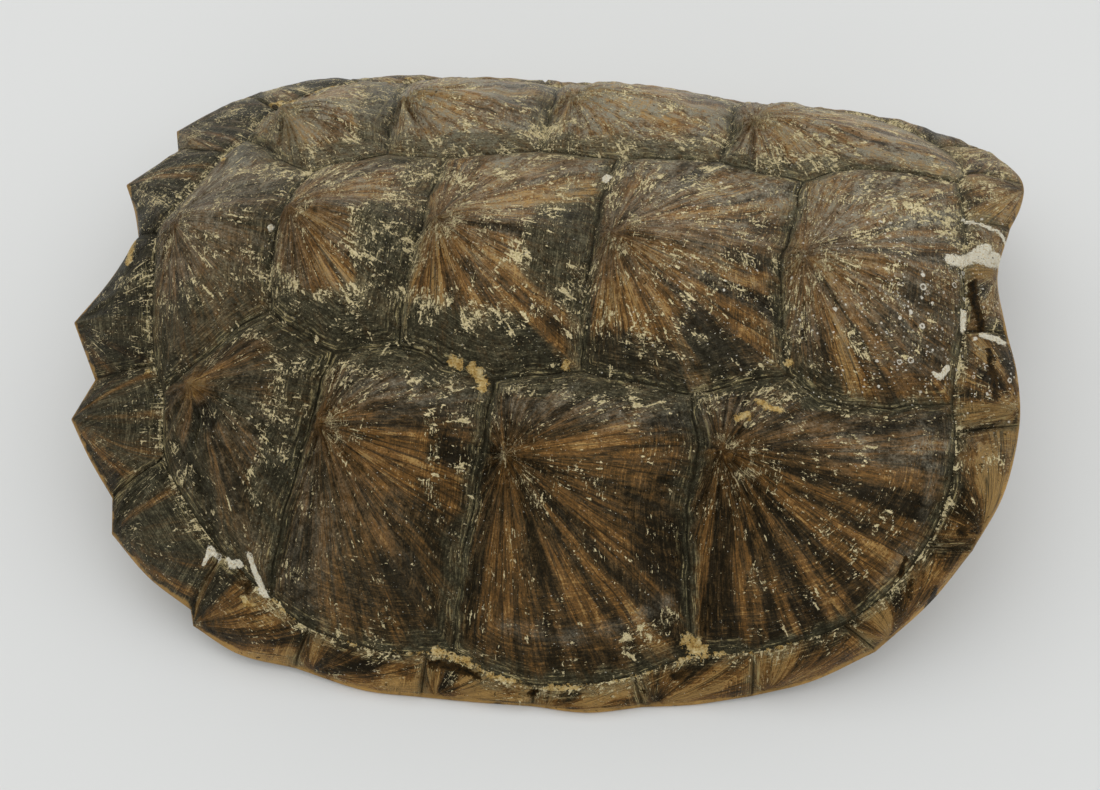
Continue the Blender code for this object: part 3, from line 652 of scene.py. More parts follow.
# ---- seams
SIDE_SEAMS = {
    "v5_c4": ("v5_v4_c4", 10.7),
    "v4_c4": ("v5_v4_c4", "v4_c4_c3"),
    "v4_c3": ("v4_c4_c3", "v4_v3_c3"),
    "v3_c3": ("v4_v3_c3", "v3_c3_c2"),
    "v3_c2": ("v3_c3_c2", "v3_v2_c2"),
    "v2_c2": ("v3_v2_c2", "v2_c2_c1"),
    "v2_c1": ("v2_c2_c1", "v2_v1_c1"),
    "v1_c1": ("v2_v1_c1", 0.7),
    "c4_c3": ("v4_c4_c3", 8.5),
    "c3_c2": ("v3_c3_c2", 6.8),
    "c2_c1": ("v2_c2_c1", 4.6),
}
CROSS_ENDS = {
    "v5_v4": "v5_v4_c4",
    "v4_v3": "v4_v3_c3",
    "v3_v2": "v3_v2_c2",
    "v2_v1": "v2_v1_c1",
    "v1_nuchal": 0.0,
}
# Where a seam of the dome or of two marginals meets the inner edge of the rim.
RIM_STOPS = (0.0, 0.7, 1.0, 2.0, 3.0, 4.0, 4.6, 5.0, 6.0, 6.8, 7.0, 8.0, 8.5, 9.0, 10.0, 10.7,
             11.0, 12.0)


def corner_place(name, side):
    if name in CORNERS:
        return settle(CORNERS[name], side)
    return rim_inner(name, side)[0]


def corner_name(name, side):
    return (name, 0) if name == 12.0 else (name, side)


def rim_keys(first, last):
    """Keys of the points between two stops on the inner edge of the rim."""
    length = run_of(rim_inner(np.linspace(first, last, 20), 1))
    return np.linspace(first, last, max(1, round(length / SPACING)) + 1)


def seam_plan(line, seed):
    """Evenly spaced places along a seam, wandering a little."""
    return wavy(along(line, max(2, round(run_of(line) / SPACING))), seed)


def wavy(plan, seed):
    """A seam's line, wandering a little between its fixed ends."""
    distance = np.concatenate([[0.0], np.cumsum(lengths(np.diff(plan[:, :2], axis=0)))])
    ends = smooth(np.minimum(distance, distance[-1] - distance) / 6.0)
    push = SEAM_STRAY[0] * noise(distance / 9.0, seed)
    push = ends * (push + SEAM_STRAY[1] * noise(distance / 3.5, seed + 1))
    run = np.gradient(plan[:, :2], axis=0)
    run /= lengths(run)[:, None]
    moved = plan.copy()
    moved[:, 0] -= run[:, 1] * push
    moved[:, 1] += run[:, 0] * push
    return moved


def lay_side_seams(skin, side):
    for order, (name, (start, end)) in enumerate(SIDE_SEAMS.items()):
        bends = [settle(point, side) for point in SEAM_BENDS.get(name, ())]
        line = [corner_place(start, side)] + bends + [corner_place(end, side)]
        plan = seam_plan(line, 10 * order + side)
        skin.lay_seam((name, side), (start, side), (end, side), plan)
    for first, last in zip(RIM_STOPS[:-1], RIM_STOPS[1:]):
        plan = rim_inner(rim_keys(first, last), side)
        skin.lay_seam((first, side), corner_name(first, side), corner_name(last, side), plan)


def lay_cross_seams(skin):
    for order, (name, (bend, middle)) in enumerate(CROSS_SEAMS.items()):
        end = CROSS_ENDS[name]
        right = [corner_place(end, -1), settle(bend, -1)]
        left = [settle(bend, 1), corner_place(end, 1)]
        plan = seam_plan(right + [settle(middle, 1)] + left, 200 + 10 * order)
        skin.lay_seam((name, 0), (end, -1), (end, 1), plan)


def back(path):
    return [(name, -way) for name, way in reversed(path)]


def flank(side, *names):
    return [((name, side), 1) for name in names]


def rim_path(first, last, side):
    return flank(side, *[stop for stop in RIM_STOPS if first <= stop < last])


def vertebral_path(name):
    """Seams round a scute of the middle row, anticlockwise from above."""
    if name == "v5":
        halves = [flank(side, "v5_c4") + rim_path(10.7, 12.0, side) for side in (-1, 1)]
        return [(("v5_v4", 0), 1)] + halves[1] + back(halves[0])
    if name == "v1":
        halves = [flank(side, "v1_c1") + back(rim_path(0.0, 0.7, side)) for side in (-1, 1)]
        return halves[0] + [(("v1_nuchal", 0), 1)] + back(halves[1]) + [(("v2_v1", 0), -1)]
    rear, front, names = {
        "v4": ("v5_v4", "v4_v3", ("v4_c4", "v4_c3")),
        "v3": ("v4_v3", "v3_v2", ("v3_c3", "v3_c2")),
        "v2": ("v3_v2", "v2_v1", ("v2_c2", "v2_c1")),
    }[name]
    sides = flank(-1, *names) + [((front, 0), 1)] + back(flank(1, *names))
    return sides + [((rear, 0), -1)]


def costal_path(name, side):
    """Seams round a scute of a side row, anticlockwise from above."""
    inner, rear, front, low, high = {
        "c4": (("v4_c4",), "v5_c4", "c4_c3", 8.5, 10.7),
        "c3": (("v4_c3", "v3_c3"), "c4_c3", "c3_c2", 6.8, 8.5),
        "c2": (("v3_c2", "v2_c2"), "c3_c2", "c2_c1", 4.6, 6.8),
        "c1": (("v2_c1",), "c2_c1", "v1_c1", 0.7, 4.6),
    }[name]
    path = flank(side, rear) + back(rim_path(low, high, side))
    path += back(flank(side, front)) + back(flank(side, *inner))
    return path if side < 0 else back(path)


# ---- scutes
def seam_gap(plan, border):
    """Distance from each place of a plan to the nearest seam."""
    side = np.roll(border, -1, axis=0) - border
    from_start = plan[:, None, :] - border[None, :, :]
    part = np.clip((from_start * side).sum(-1) / (side ** 2).sum(-1), 0.0, 1.0)
    return np.linalg.norm(from_start - part[:, :, None] * side, axis=2).min(axis=1)


def ring_share(plan, centre, border):
    """0 at the growth centre and 1 at the seam, along the ray through each place."""
    rim = border - centre
    rim_angle = angle_of(rim)
    order = np.argsort(rim_angle)
    reach = np.interp(angle_of(plan - centre), rim_angle[order], lengths(rim)[order],
                      period=2.0 * math.pi)
    return np.clip(lengths(plan - centre) / reach, 0.0, 1.0)


def angle_of(offset):
    return np.arctan2(offset[:, 1], offset[:, 0])


def scute_relief(share, offset, peak):
    """Height above the dome: peak, keel and growth ledges, as the CAD solid has them."""
    fall = (1.0 - share) ** PEAK_SHARPNESS
    ahead = np.clip(offset[:, 0] / 12.0, 0.0, 1.0)
    keel = KEEL_HEIGHT * ahead * bell(offset[:, 1], KEEL_WIDTH)
    keel *= np.sqrt(share) * (1.0 - share)
    ledges = sum(1.0 - np.clip((share - at) / 0.10, 0.0, 1.0) for at in TERRACES)
    return peak * fall + 2.0 * keel + TERRACE_STEP * ledges


def fine_relief(plan, offset, ring, gap, number, pleat):
    """Ridges that fan from the growth centre, uneven growth rings and low lumps."""
    away, way = fan_of(offset, 1.0)
    ridges = 1.0 - 2.0 * np.abs(fan_noise(way, 2.6, number * 3.7, 11))
    ridges_fine = 1.0 - 2.0 * np.abs(fan_noise(way, 7.0, number * 3.7 + away / 30.0, 12))
    swell = smooth(away / 12.0) * smooth(gap / 7.0)
    wobble = 0.035 * fan_noise(way, 1.5, ring * 2.0 + number, 13)
    phase = (ring + wobble) * GROWTH_RINGS
    step = phase - np.floor(phase)
    strong = 0.5 + 0.5 * noise(np.floor(phase)[:, None] + number * 5.1, 14)
    rings = smooth(step * 3.0) * (1.0 - step) * strong * smooth(ring * 4.0)
    lumps = noise(plan / 16.0, 15) * LUMP + noise(plan / 6.0, 16) * LUMP_FINE
    grain = noise(plan / 2.6, 17) * GRAIN
    even_out = smooth(gap / 3.0)
    fans = swell * (RIDGE * ridges + RIDGE_FINE * ridges_fine)
    fans += pleat * knuckles(offset, number) * smooth(gap / 5.0)
    share = away / (away + gap + 0.01)
    ahead = smooth(offset[:, 0] / 8.0) * np.sqrt(share) * (1.0 - share)
    roof = np.maximum(0.0, 1.0 - np.abs(offset[:, 1]) / ROOF[1]) * ROOF[0]
    crest = CREST[0] * np.exp(-np.abs(offset[:, 1]) / CREST[1])
    fans += ahead * (roof + crest) * smooth(gap / 6.0)
    return fans + even_out * (RING_STEP * rings + lumps + grain)


def knuckles(offset, number):
    """Pleats pinched together round a growth centre."""
    away, way = fan_of(offset, 1.0)
    coarse = np.abs(fan_noise(way, 3.6, number * 2.9, 18))
    fine = np.abs(fan_noise(way, 9.0, number * 1.7, 19))
    pleats = 0.6 - 2.8 * coarse + 0.7 * (0.8 - 2.8 * fine)
    return pleats * smooth(away / 3.5) * np.exp(-away / 15.0)


def centroid(border):
    """Middle of the area inside a border."""
    after = np.roll(border, -1, axis=0)
    cross = border[:, 0] * after[:, 1] - after[:, 0] * border[:, 1]
    return ((border + after) * cross[:, None]).sum(axis=0) / (3.0 * cross.sum())


def sector_share(angle, start, end, soft):
    """1 inside a sector of the fan and 0 outside it, in degrees."""
    return smooth((angle - start) / soft + 0.5) * smooth((end - angle) / soft + 0.5)


def fan_shade(name, side, angle, ring, number):
    """Amber or dark, slate and fleck amounts, by direction and share of the way out."""
    turn = np.column_stack([np.cos(angle), np.sin(angle)])
    wobble = fan_noise(turn, 3.0, ring * 2.5 + number, 41)
    shake = fan_noise(turn, 11.0, ring * 4.0 + number, 42)
    degrees = np.degrees(angle) * (-side if name.startswith("c") else 1)
    degrees = degrees + FAN_STRAY[0] * wobble + FAN_STRAY[1] * shake
    out = ring + 0.05 * wobble + 0.05 * shake
    tone = np.zeros(len(angle))
    for start, end, low, high, amount in FANS[name]:
        span = smooth((out - low) / 0.12 + 0.5) * smooth((high - out) / 0.08 + 1.0)
        tone += amount * span * sector_share(degrees, start, end, 1.6)
    cast, cover, _ = SCUTE_CAST[name]
    tone += cast
    slate = cover * smooth(0.6 + wobble) * smooth(ring * 4.0)
    edge = np.zeros(len(angle))
    for start, end, low, amount in SLATE_BANDS[name]:
        sector = sector_share(degrees, start, end, 6.0) * amount
        slate = np.maximum(slate, sector * smooth((out - low) / 0.06 + 0.5))
        if low < FLECKED_BELOW:
            edge = np.maximum(edge, sector * bell(out - low, 0.10))
    flecks = np.maximum(0.68 * edge, 0.45 * bell(ring - 0.12, 0.16))
    return np.column_stack([tone, slate, flecks])


class Scute:
    """One scute of the dome: its border, growth centre and looks."""

    def __init__(self, skin, name, side, number):
        x, out, self.peak = PEAKS[name]
        middle_row = name.startswith("v")
        self.skin = skin
        self.name = name
        self.side = side
        self.number = number
        self.kind = 0.0 if middle_row else 1.0
        self.pleat = (1.6 + 1.5 * SCUTE_CAST[name][2]) * (0.4 if middle_row else 1.0)
        self.centre = settle((x, out, 0.0), side)[:2]
        path = vertebral_path(name) if middle_row else costal_path(name, side)
        self.numbers = skin.follow(path)
        self.border = np.concatenate(skin.points)[self.numbers, :2]

    def looks(self, plan, ring, gap):
        offset = plan - self.centre
        away = lengths(offset)
        shades = fan_shade(self.name, self.side, angle_of(offset), ring, self.number)
        pleats = knuckles(offset, self.number)
        # Painted light and shade: pleat ridges lighter, pleat valleys darker.
        shades[:, 0] += 0.9 * smooth(1.5 * pleats) - 0.4 * smooth(-3.0 * pleats - 0.2)
        shades[:, 0] += 0.8 * self.kind * bell(ring, 0.2)
        lined = 1.1 * SCUTE_CAST[self.name][2] * smooth(2.0 * pleats - 0.1)
        shades[:, 2] = np.maximum(shades[:, 2], lined)
        patches = 0.5 * smooth(1.6 * patch_fields(plan, FLECK_PATCHES))
        shades[:, 2] = np.maximum(shades[:, 2], patches)
        if self.name == "c4" and self.side < 0:
            knob = bell(away, 6.0)
            # Painted shade: darker horn in the hollow under the knob and along the crease.
            shades[:, 0] -= 1.8 * smooth(2.0 * field(plan, HOLLOW[1:2], HOLLOW[2]))
            shades[:, 0] += 1.1 * knob - 1.6 * field(plan, *CREASE[1:])
            shades[:, 1] *= 1.0 - knob
            shades[:, 2] *= smooth(away / 14.0 - 0.3)
        # Painted light: costals on the left, far side are made more amber and brighter, as if lit
        # from the back.
        if self.kind == 1.0 and self.side > 0:
            shades[:, 0] += 1.5
        rays = np.column_stack([offset, np.full(len(plan), self.number)])
        bands = np.column_stack([ring, gap, np.full(len(plan), self.kind)])
        return rays, bands, shades

    def points(self, plan):
        offset = plan - self.centre
        away = lengths(offset)
        gap = seam_gap(plan, self.border)
        ring = ring_share(plan, self.centre, self.border)
        relief = scute_relief(away / (away + gap), offset, self.peak)
        relief += fine_relief(plan, offset, ring, gap, self.number, self.pleat)
        if self.name == "c4":
            relief += self.hook(plan, away)
        groove = smooth(gap / GROOVE_HALF_WIDTH)
        relief = relief * groove - GROOVE_DEPTH * (1.0 - groove)
        return self.skin.dome.lift(plan, relief), *self.looks(plan, ring, gap)

    def hook(self, plan, away):
        """A steep knob, with a hollow under it on the right side."""
        rise = HOOK[0] * np.exp(-(away / HOOK[1]) ** 1.5) * (1.0 if self.side < 0 else 0.4)
        depth, place, width = HOLLOW
        fall = depth * bell(lengths(plan - place), width)
        fall += CREASE[0] * smooth(field(plan, *CREASE[1:]))
        return rise - fall * (1.0 if self.side < 0 else 0.0)

    def grow(self):
        """Rings of points from the seams in to the middle of the scute."""
        border = self.border
        count = len(border)
        self.skin.note(self.numbers, *self.looks(border, np.ones(count), np.zeros(count)))
        middle = centroid(border)
        rings = max(6, round(lengths(border - middle).max() / SPACING))
        outer = self.numbers
        for index in range(1, rings):
            ring = 1.0 - index / rings
            count = max(7, round(len(border) * ring))
            loop = read_loop(middle + (border - middle) * ring, count)
            inner = self.skin.add(*self.points(loop))
            self.skin.stitch(outer, inner)
            outer = inner
        tip = self.skin.add(*self.points(middle[None, :]))
        self.skin.close(outer.tolist(), tip[0])
        self.skin.end_patch()


def grow_scutes(skin):
    number = 1
    for name in PEAKS:
        for side in (1,) if name.startswith("v") else (-1, 1):
            Scute(skin, name, side, number).grow()
            number += 1


# ---- rim and inside
class Rim:
    """Every station round the rim, in order from the tail, as arrays."""

    def __init__(self, skin):
        keys = rim_station_keys()
        right = (keys[::-1], rim_inner(keys, -1)[::-1], rim_outer(keys, -1)[::-1])
        left = (keys[:-1], rim_inner(keys, 1)[:-1], rim_outer(keys, 1)[:-1])
        inner, outer = nuchal_lines(right, left)
        steps = np.arange(1, len(inner) - 1) / (len(inner) - 1)
        self.key = np.concatenate([right[0], np.zeros(len(steps)), left[0]])
        self.inner = np.concatenate([right[1], inner[1:-1], left[1]])
        self.outer = np.concatenate([right[2], outer[1:-1], left[2]])
        self.at = rim_turns(right[0], steps, left[0])
        self.foot = foot_share(self.key)
        self.surface = skin.dome.lift(self.inner, np.zeros(len(self.key)))
        self.normal = skin.dome.normal(self.inner[:, :2])
        self.chord = self.outer - self.surface
        self.width = lengths(self.chord)
        self.across = self.chord * FLAT
        self.across /= lengths(self.across)[:, None]
        self.mark_scutes()

    def mark_scutes(self):
        """Each station's scute, its distance to that scute's seams, and to its tip."""
        turn = self.at * RIM_SCUTES
        self.scute = np.minimum(np.floor(turn + 1e-6), RIM_SCUTES - 1).astype(int)
        steps = lengths(np.diff(self.outer, axis=0, append=self.outer[:1]))
        run = np.concatenate([[0.0], np.cumsum(steps)[:-1]])
        known = (np.append(turn, float(RIM_SCUTES)), np.append(run, steps.sum()))
        bounds = np.interp(np.arange(RIM_SCUTES + 1), *known)
        before = np.abs(run - bounds[self.scute])
        self.seam_away = np.minimum(before, np.abs(bounds[self.scute + 1] - run))
        tips = np.array([tip_turn(number) for number in range(RIM_SCUTES)])
        self.tip_away = run - np.interp(tips, *known)[self.scute]

    def top(self, share):
        """Points on the outer face, from the inner seam (0) to the free edge (1)."""
        bulge = RIM_BULGE + (SIDE_BULGE - RIM_BULGE) * self.foot
        out = self.normal + self.across
        out /= lengths(out)[:, None]
        lift = 4.0 * share * (1.0 - share) * bulge
        seam = 1.0 - smooth(self.seam_away / GROOVE_HALF_WIDTH)
        ridge = TOOTH_RIDGE * (1.0 - self.foot) * smooth(self.seam_away / 9.0)
        relief = -GROOVE_DEPTH * seam * (1.0 - share ** 3)
        relief += ridge * share * (1.0 - share) * 4.0 * (1.0 - seam)
        relief += self.fine(share) * (1.0 - seam)
        inner_seam = 1.0 - smooth(share * self.width / GROOVE_HALF_WIDTH)
        relief = relief * (1.0 - inner_seam) - GROOVE_DEPTH * inner_seam
        points = self.surface + self.chord * share + out * lift[:, None]
        return points + self.normal * relief[:, None]

    def fine(self, share):
        """Low ridges that fan from the tip of each scute, and lumps."""
        rays = self.rays(share)
        away, way = fan_of(rays[:, :2], 1.0)
        ridges = 1.0 - 2.0 * np.abs(fan_noise(way, 3.4, rays[:, 2] * 3.7, 21))
        plan = (self.surface + self.chord * share)[:, :2]
        lumps = noise(plan / 9.0, 22) * RIM_LUMP + noise(plan / 3.2, 23) * RIM_LUMP_FINE
        ends = smooth(share * 5.0) * smooth((1.0 - share) * 6.0)
        return ends * (RIM_RIDGE * ridges * smooth(away / 6.0) + lumps)

    def rays(self, share):
        width = (1.0 - share) * self.width
        return np.column_stack([self.tip_away, width, self.scute + RIM_SEED])

    def bands(self, share):
        gap = np.minimum(self.seam_away, share * self.width)
        away = np.hypot(self.tip_away, (1.0 - share) * self.width)
        kind = RIM_KIND + np.minimum((1.0 - share) * self.width * EDGE_SCALE, 0.9)
        return np.column_stack([away / (away + gap + 0.01), gap, kind])

    def looks(self, share):
        """Amber on the front and the sides, and grey-brown teeth at the tail."""
        rays = self.rays(share)
        way = fan_of(rays[:, :2], 0.5)[1]
        amber = 1.2 * smooth((9.0 - self.key) / 1.0) - 0.6 * smooth((self.key - 8.7) / 0.6)
        plan = (self.surface + self.chord * share)[:, :2]
        amber += 1.6 * noise(plan / 7.0, 45) * smooth((9.0 - self.key) / 1.0)
        streak = fan_noise(way, 2.5, rays[:, 2] * 2.3, 43)
        streak_fine = fan_noise(way, 7.0, rays[:, 2] * 2.3, 44)
        front = smooth((2.7 - self.key) / 0.8) * (self.scute <= MARGINALS)
        tone = amber + 1.8 * streak + 1.5 * streak_fine - 0.4 * front
        flecks = 0.8 * np.exp(-share * self.width / 3.0)
        slate = 0.5 * smooth(1.0 - self.seam_away / 3.5) * smooth((share - 0.1) * 5.0)
        tail = smooth((self.key - 8.6) / 0.5)
        slate = np.maximum(slate, tail * smooth(0.8 - 1.6 * streak_fine))
        slate = np.maximum(slate, 0.2 * front * smooth(0.5 + 1.6 * streak))
        return rays, self.bands(share), np.column_stack([tone, slate, flecks])

    def under_edge(self):
        return self.outer - [0.0, 0.0, EDGE]

    def under_rim(self):
        return self.surface - self.normal * WALL_AT_RIM

    def under_middle(self):
        """Inner edge of the flat foot on the sides, and the underside elsewhere."""
        edge = self.under_edge()
        inward = self.under_rim() - edge
        flat = inward * FLAT
        flat *= (FOOT_WIDTH / lengths(flat))[:, None]
        foot = self.foot[:, None]
        return edge + flat * foot + inward * TOE_SHARE * (1.0 - foot)


def rim_turns(right, nuchal, left):
    """Parts of a turn round the rim from the tail: right side, nuchal scute, left side."""
    turns = (MARGINALS - right, MARGINALS + nuchal, MARGINALS + 1.0 + left)
    return np.concatenate(turns) / RIM_SCUTES


def tip_turn(number):
    """Where a rim scute's growth centre is, in scutes round the rim from the tail."""
    if number in TOOTH_TIPS:
        return TOOTH_TIPS[number]
    if number == MARGINALS:
        return number + 0.5
    return number + (0.12 if number < MARGINALS else 0.88)


def rim_station_keys():
    """Keys along one side's free edge, evenly spaced between its named places."""
    stops = sorted(set(RIM_OUTER) | set(range(MARGINALS + 1)))
    keys = []
    for first, last in zip(stops[:-1], stops[1:]):
        length = run_of(rim_outer(np.linspace(first, last, 12), 1))
        keys.append(np.linspace(first, last, max(2, round(length / SPACING)) + 1)[:-1])
    return np.concatenate(keys + [[float(MARGINALS)]])


def nuchal_lines(right, left):
    """Inner and outer lines of the nuchal scute, from the right side to the left."""
    middle = settle(CROSS_SEAMS["v1_nuchal"][1], 1)
    bends = [settle(CROSS_SEAMS["v1_nuchal"][0], side) for side in (-1, 1)]
    line = [right[1][-1], bends[0], middle, bends[1], left[1][0]]
    count = round(np.linalg.norm(line[0] - line[-1]) / SPACING)
    edge = settle(NUCHAL_EDGE, 1)
    outer = curve([0.0, 0.5, 1.0], [right[2][-1], edge, left[2][0]], np.linspace(0, 1, count + 1))
    return along(line, count), outer


def foot_share(key):
    """1 where the side rim stands on the ground, 0 where the rim is clear of it."""
    low, full, end, high = FOOT_KEYS
    return smooth((key - low) / (full - low)) * smooth((high - key) / (high - end))


def rim_seam_loop(skin):
    """Seam points round the inner edge of the rim, and where each one is."""
    right = back(rim_path(0.0, 12.0, -1))
    left = rim_path(0.0, 12.0, 1)
    numbers = skin.follow(right + [(("v1_nuchal", 0), 1)] + left)
    half = np.concatenate([rim_keys(*pair)[:-1] for pair in zip(RIM_STOPS[:-1], RIM_STOPS[1:])])
    nuchal = len(skin.seams[("v1_nuchal", 0)]) - 1
    right_keys = np.append(half, float(MARGINALS))[::-1][:-1]
    return numbers, rim_turns(right_keys, np.arange(nuchal) / nuchal, half)


def grow_rim(skin, rim):
    """Outer face, free edge and underside of the rim. Returns the last loop."""
    loop, loop_at = rim_seam_loop(skin)
    rows = round(np.median(rim.width) / SPACING)
    skin.note(loop, *[at_turns(loop_at, rim.at, rows) for rows in rim.looks(0.0)])
    for index in range(1, rows + 1):
        share = index / rows
        row = skin.add(rim.top(share), *rim.looks(share))
        skin.stitch(row, loop, rim.at, loop_at)
        loop, loop_at = row, rim.at
    bulge = rim.outer - [0.0, 0.0, EDGE * 0.5] + rim.across * EDGE_BULGE
    for section in (bulge, rim.under_edge()):
        row = skin.add(section, *rim.looks(1.0))
        skin.stitch(loop, row, rim.at, rim.at, down=True)
        loop = row
    skin.end_patch()
    edge = rim.under_edge()
    inner = rim.under_middle()
    for share in (0.25, 0.6, 1.0):
        row = skin.add(edge + (inner - edge) * share)
        skin.stitch(loop, row, rim.at, rim.at, down=True)
        loop = row
    return loop, rim.at


def at_turns(wanted, turns, rows):
    """Rows kept at turns round the rim, read at other turns."""
    return np.column_stack([np.interp(wanted, turns, column) for column in rows.T])


def inside_drop(plan, share):
    """Wall thickness inside: thicker at the rim, along the spine and on the ribs."""
    wall = WALL + (WALL_AT_RIM - WALL) * share ** 2
    spine = SPINE_HEIGHT * bell(plan[:, 1], SPINE_HALF_WIDTH)
    phase = 2.0 * math.pi * (plan[:, 0] - INSIDE_RIB_START) / INSIDE_RIB_GAP
    ribs = INSIDE_RIB_HEIGHT * (0.5 + 0.5 * np.cos(phase)) * (1.0 - share ** 4)
    rough = noise(plan / 7.0, 31) * 0.3 + noise(plan / 3.0, 32) * 0.12
    return wall + spine * (1.0 - share ** 2) + ribs + rough * (1.0 - share ** 6)


def grow_inside(skin, rim, loop, at):
    """Hollow underside: rings from the rim in to the line of the spine."""
    places = np.column_stack([rim.inner[:, :2], rim.at])
    length = run_of(rim.inner[:, :2])
    for share in np.linspace(1.0, 0.04, INSIDE_RINGS):
        wide = length * (0.45 + 0.55 * share)
        ring = read_loop(places, round(wide / INSIDE_SPACING))
        ring_at = ring_turns(ring)
        spine = np.clip(ring[:, 0], -SPINE_REACH, SPINE_REACH)
        middle = np.column_stack([spine, np.zeros(len(ring))])
        plan = middle + (ring[:, :2] - middle) * share
        row = skin.add(skin.dome.lift(plan, -inside_drop(plan, share)))
        skin.stitch(loop, row, at, ring_at, down=True)
        loop, at = row, ring_at
    close_spine(skin, loop, ring)
    skin.end_patch(bone=True)


def ring_turns(ring):
    """Turns round the rim for a ring, kept rising through the join at the tail."""
    turns = ring[:, 2].copy()
    turns[-1] = max(turns[-1], turns[-2])
    return turns


def close_spine(skin, loop, ring):
    """Points along the spine, met by the last ring from both sides."""
    count = 2 * round(SPINE_REACH / INSIDE_SPACING)
    x = np.linspace(-SPINE_REACH, SPINE_REACH, count + 1)
    plan = np.column_stack([x, np.zeros(count + 1)])
    numbers = skin.add(skin.dome.lift(plan, -inside_drop(plan, 0.0)))
    turns = ring_turns(ring)
    right = turns < 0.5
    there = np.interp(x, ring[right, 0], turns[right])
    and_back = np.interp(x, ring[~right, 0][::-1], turns[~right][::-1])[::-1]
    spine_at = np.concatenate([there, and_back])
    skin.stitch(loop, np.concatenate([numbers, numbers[::-1]]), turns, spine_at, down=True)


# ---- materials
def colour(*levels):
    """A colour seen on screen, from 0 to 255, as the shader takes it."""
    parts = [level / 255.0 for level in levels]
    return (*[part / 12.92 if part <= 0.04045 else ((part + 0.055) / 1.055) ** 2.4
              for part in parts], 1.0)


class Nodes:
    """Short ways to add and join the nodes of one material."""

    def __init__(self, name):
        self.material = bpy.data.materials.new(name)
        self.material.use_nodes = True
        self.tree = self.material.node_tree
        self.shader = self.tree.nodes["Principled BSDF"]

    def feed(self, socket, value):
        if isinstance(value, bpy.types.NodeSocket):
            self.tree.links.new(value, socket)
        else:
            socket.default_value = value

    def node(self, kind, inputs, **settings):
        node = self.tree.nodes.new(kind)
        for name, value in settings.items():
            setattr(node, name, value)
        for name, value in inputs.items():
            self.feed(node.inputs[name], value)
        return node

    def finish(self, inputs):
        """Feed the shader and hand over the material."""
        for name, value in inputs.items():
            self.feed(self.shader.inputs[name], value)
        return self.material

    def attribute(self, name):
        """The three numbers that the mesh keeps under a name."""
        node = self.node("ShaderNodeAttribute", {}, attribute_name=name)
        return self.split(node.outputs["Vector"])

    def place(self, scale=None):
        """Where a point is on its object, in metres or scaled."""
        place = self.node("ShaderNodeTexCoord", {}).outputs["Object"]
        return place if scale is None else self.vector("SCALE", place, scale)

    def math(self, operation, first, second=0.0, third=0.0):
        values = {0: first, 1: second, 2: third}
        return self.node("ShaderNodeMath", values, operation=operation).outputs[0]

    def times(self, *values):
        return reduce(lambda total, value: self.math("MULTIPLY", total, value), values)

    def most(self, *values):
        return reduce(lambda total, value: self.math("MAXIMUM", total, value), values)

    def plus(self, first, second):
        return self.math("ADD", first, second)

    def less(self, first, second):
        return self.math("SUBTRACT", first, second)

    def line(self, value, slope, start):
        return self.math("MULTIPLY_ADD", value, slope, start)

    def sway(self, total, *parts):
        """Add patterns that swing about their middle value, each by its amount."""
        for pattern, amount in parts:
            total = self.line(self.less(pattern, 0.5), amount, total)
        return total

    def vector(self, operation, first, second=(0.0, 0.0, 0.0)):
        node = self.node("ShaderNodeVectorMath", {0: first}, operation=operation)
        if operation == "SCALE":
            self.feed(node.inputs["Scale"], second)
        elif operation != "NORMALIZE":
            self.feed(node.inputs[1], second)
        return node.outputs["Value" if operation == "LENGTH" else "Vector"]

    def split(self, vector):
        return self.node("ShaderNodeSeparateXYZ", {0: vector}).outputs

    def join(self, x, y, z):
        return self.node("ShaderNodeCombineXYZ", {0: x, 1: y, 2: z}).outputs[0]

    def noise(self, vector, scale, detail=2.0, roughness=0.5, distortion=0.0):
        inputs = {"Vector": vector, "Scale": scale, "Detail": detail,
                  "Roughness": roughness, "Distortion": distortion}
        return self.node("ShaderNodeTexNoise", inputs).outputs[0]

    def ease(self, value, low, high, to_low=0.0, to_high=1.0):
        """Smooth step from one value to another."""
        inputs = {"Value": value, "From Min": low, "From Max": high,
                  "To Min": to_low, "To Max": to_high}
        return self.node("ShaderNodeMapRange", inputs, interpolation_type="SMOOTHSTEP").outputs[0]

    def thin(self, pattern, width):
        """Thin lines where a pattern crosses its middle value."""
        return self.ease(self.math("ABSOLUTE", self.less(pattern, 0.5)), 0.0, width, 1.0, 0.0)

    def lay(self, base, *layers):
        """Lay colours over a base, each by its share."""
        for share, shade in layers:
            node = self.node("ShaderNodeMix", {}, data_type="RGBA")
            for index, value in ((0, share), (6, base), (7, shade)):
                self.feed(node.inputs[index], value)
            base = node.outputs[2]
        return base

    def ramp(self, value, stops):
        node = self.node("ShaderNodeValToRGB", {0: value})
        elements = node.color_ramp.elements
        while len(elements) < len(stops):
            elements.new(0.5)
        for element, (place, shade) in zip(elements, stops):
            element.position = place
            element.color = shade
        return node.outputs[0]

    def bump(self, height, distance, strength):
        inputs = {"Height": height, "Distance": distance, "Strength": strength}
        self.feed(self.shader.inputs["Normal"], self.node("ShaderNodeBump", inputs).outputs[0])


BLACK_HORN = colour(14, 11, 5)
DARK_HORN = colour(38, 28, 13)
BROWN_HORN = colour(88, 66, 36)
AMBER_HORN = colour(142, 99, 48)
PALE_AMBER = colour(190, 150, 88)
HORN_SHEEN = (1.0, 0.78, 0.45, 1.0)
HORN_SHINE = 0.19
SLATE_DARK = colour(27, 26, 18)
SLATE = colour(67, 66, 50)
SLATE_PALE = colour(134, 129, 101)
SEAM_SHADOW = colour(22, 22, 15)
DUST_AND_SHEEN = colour(160, 154, 134)
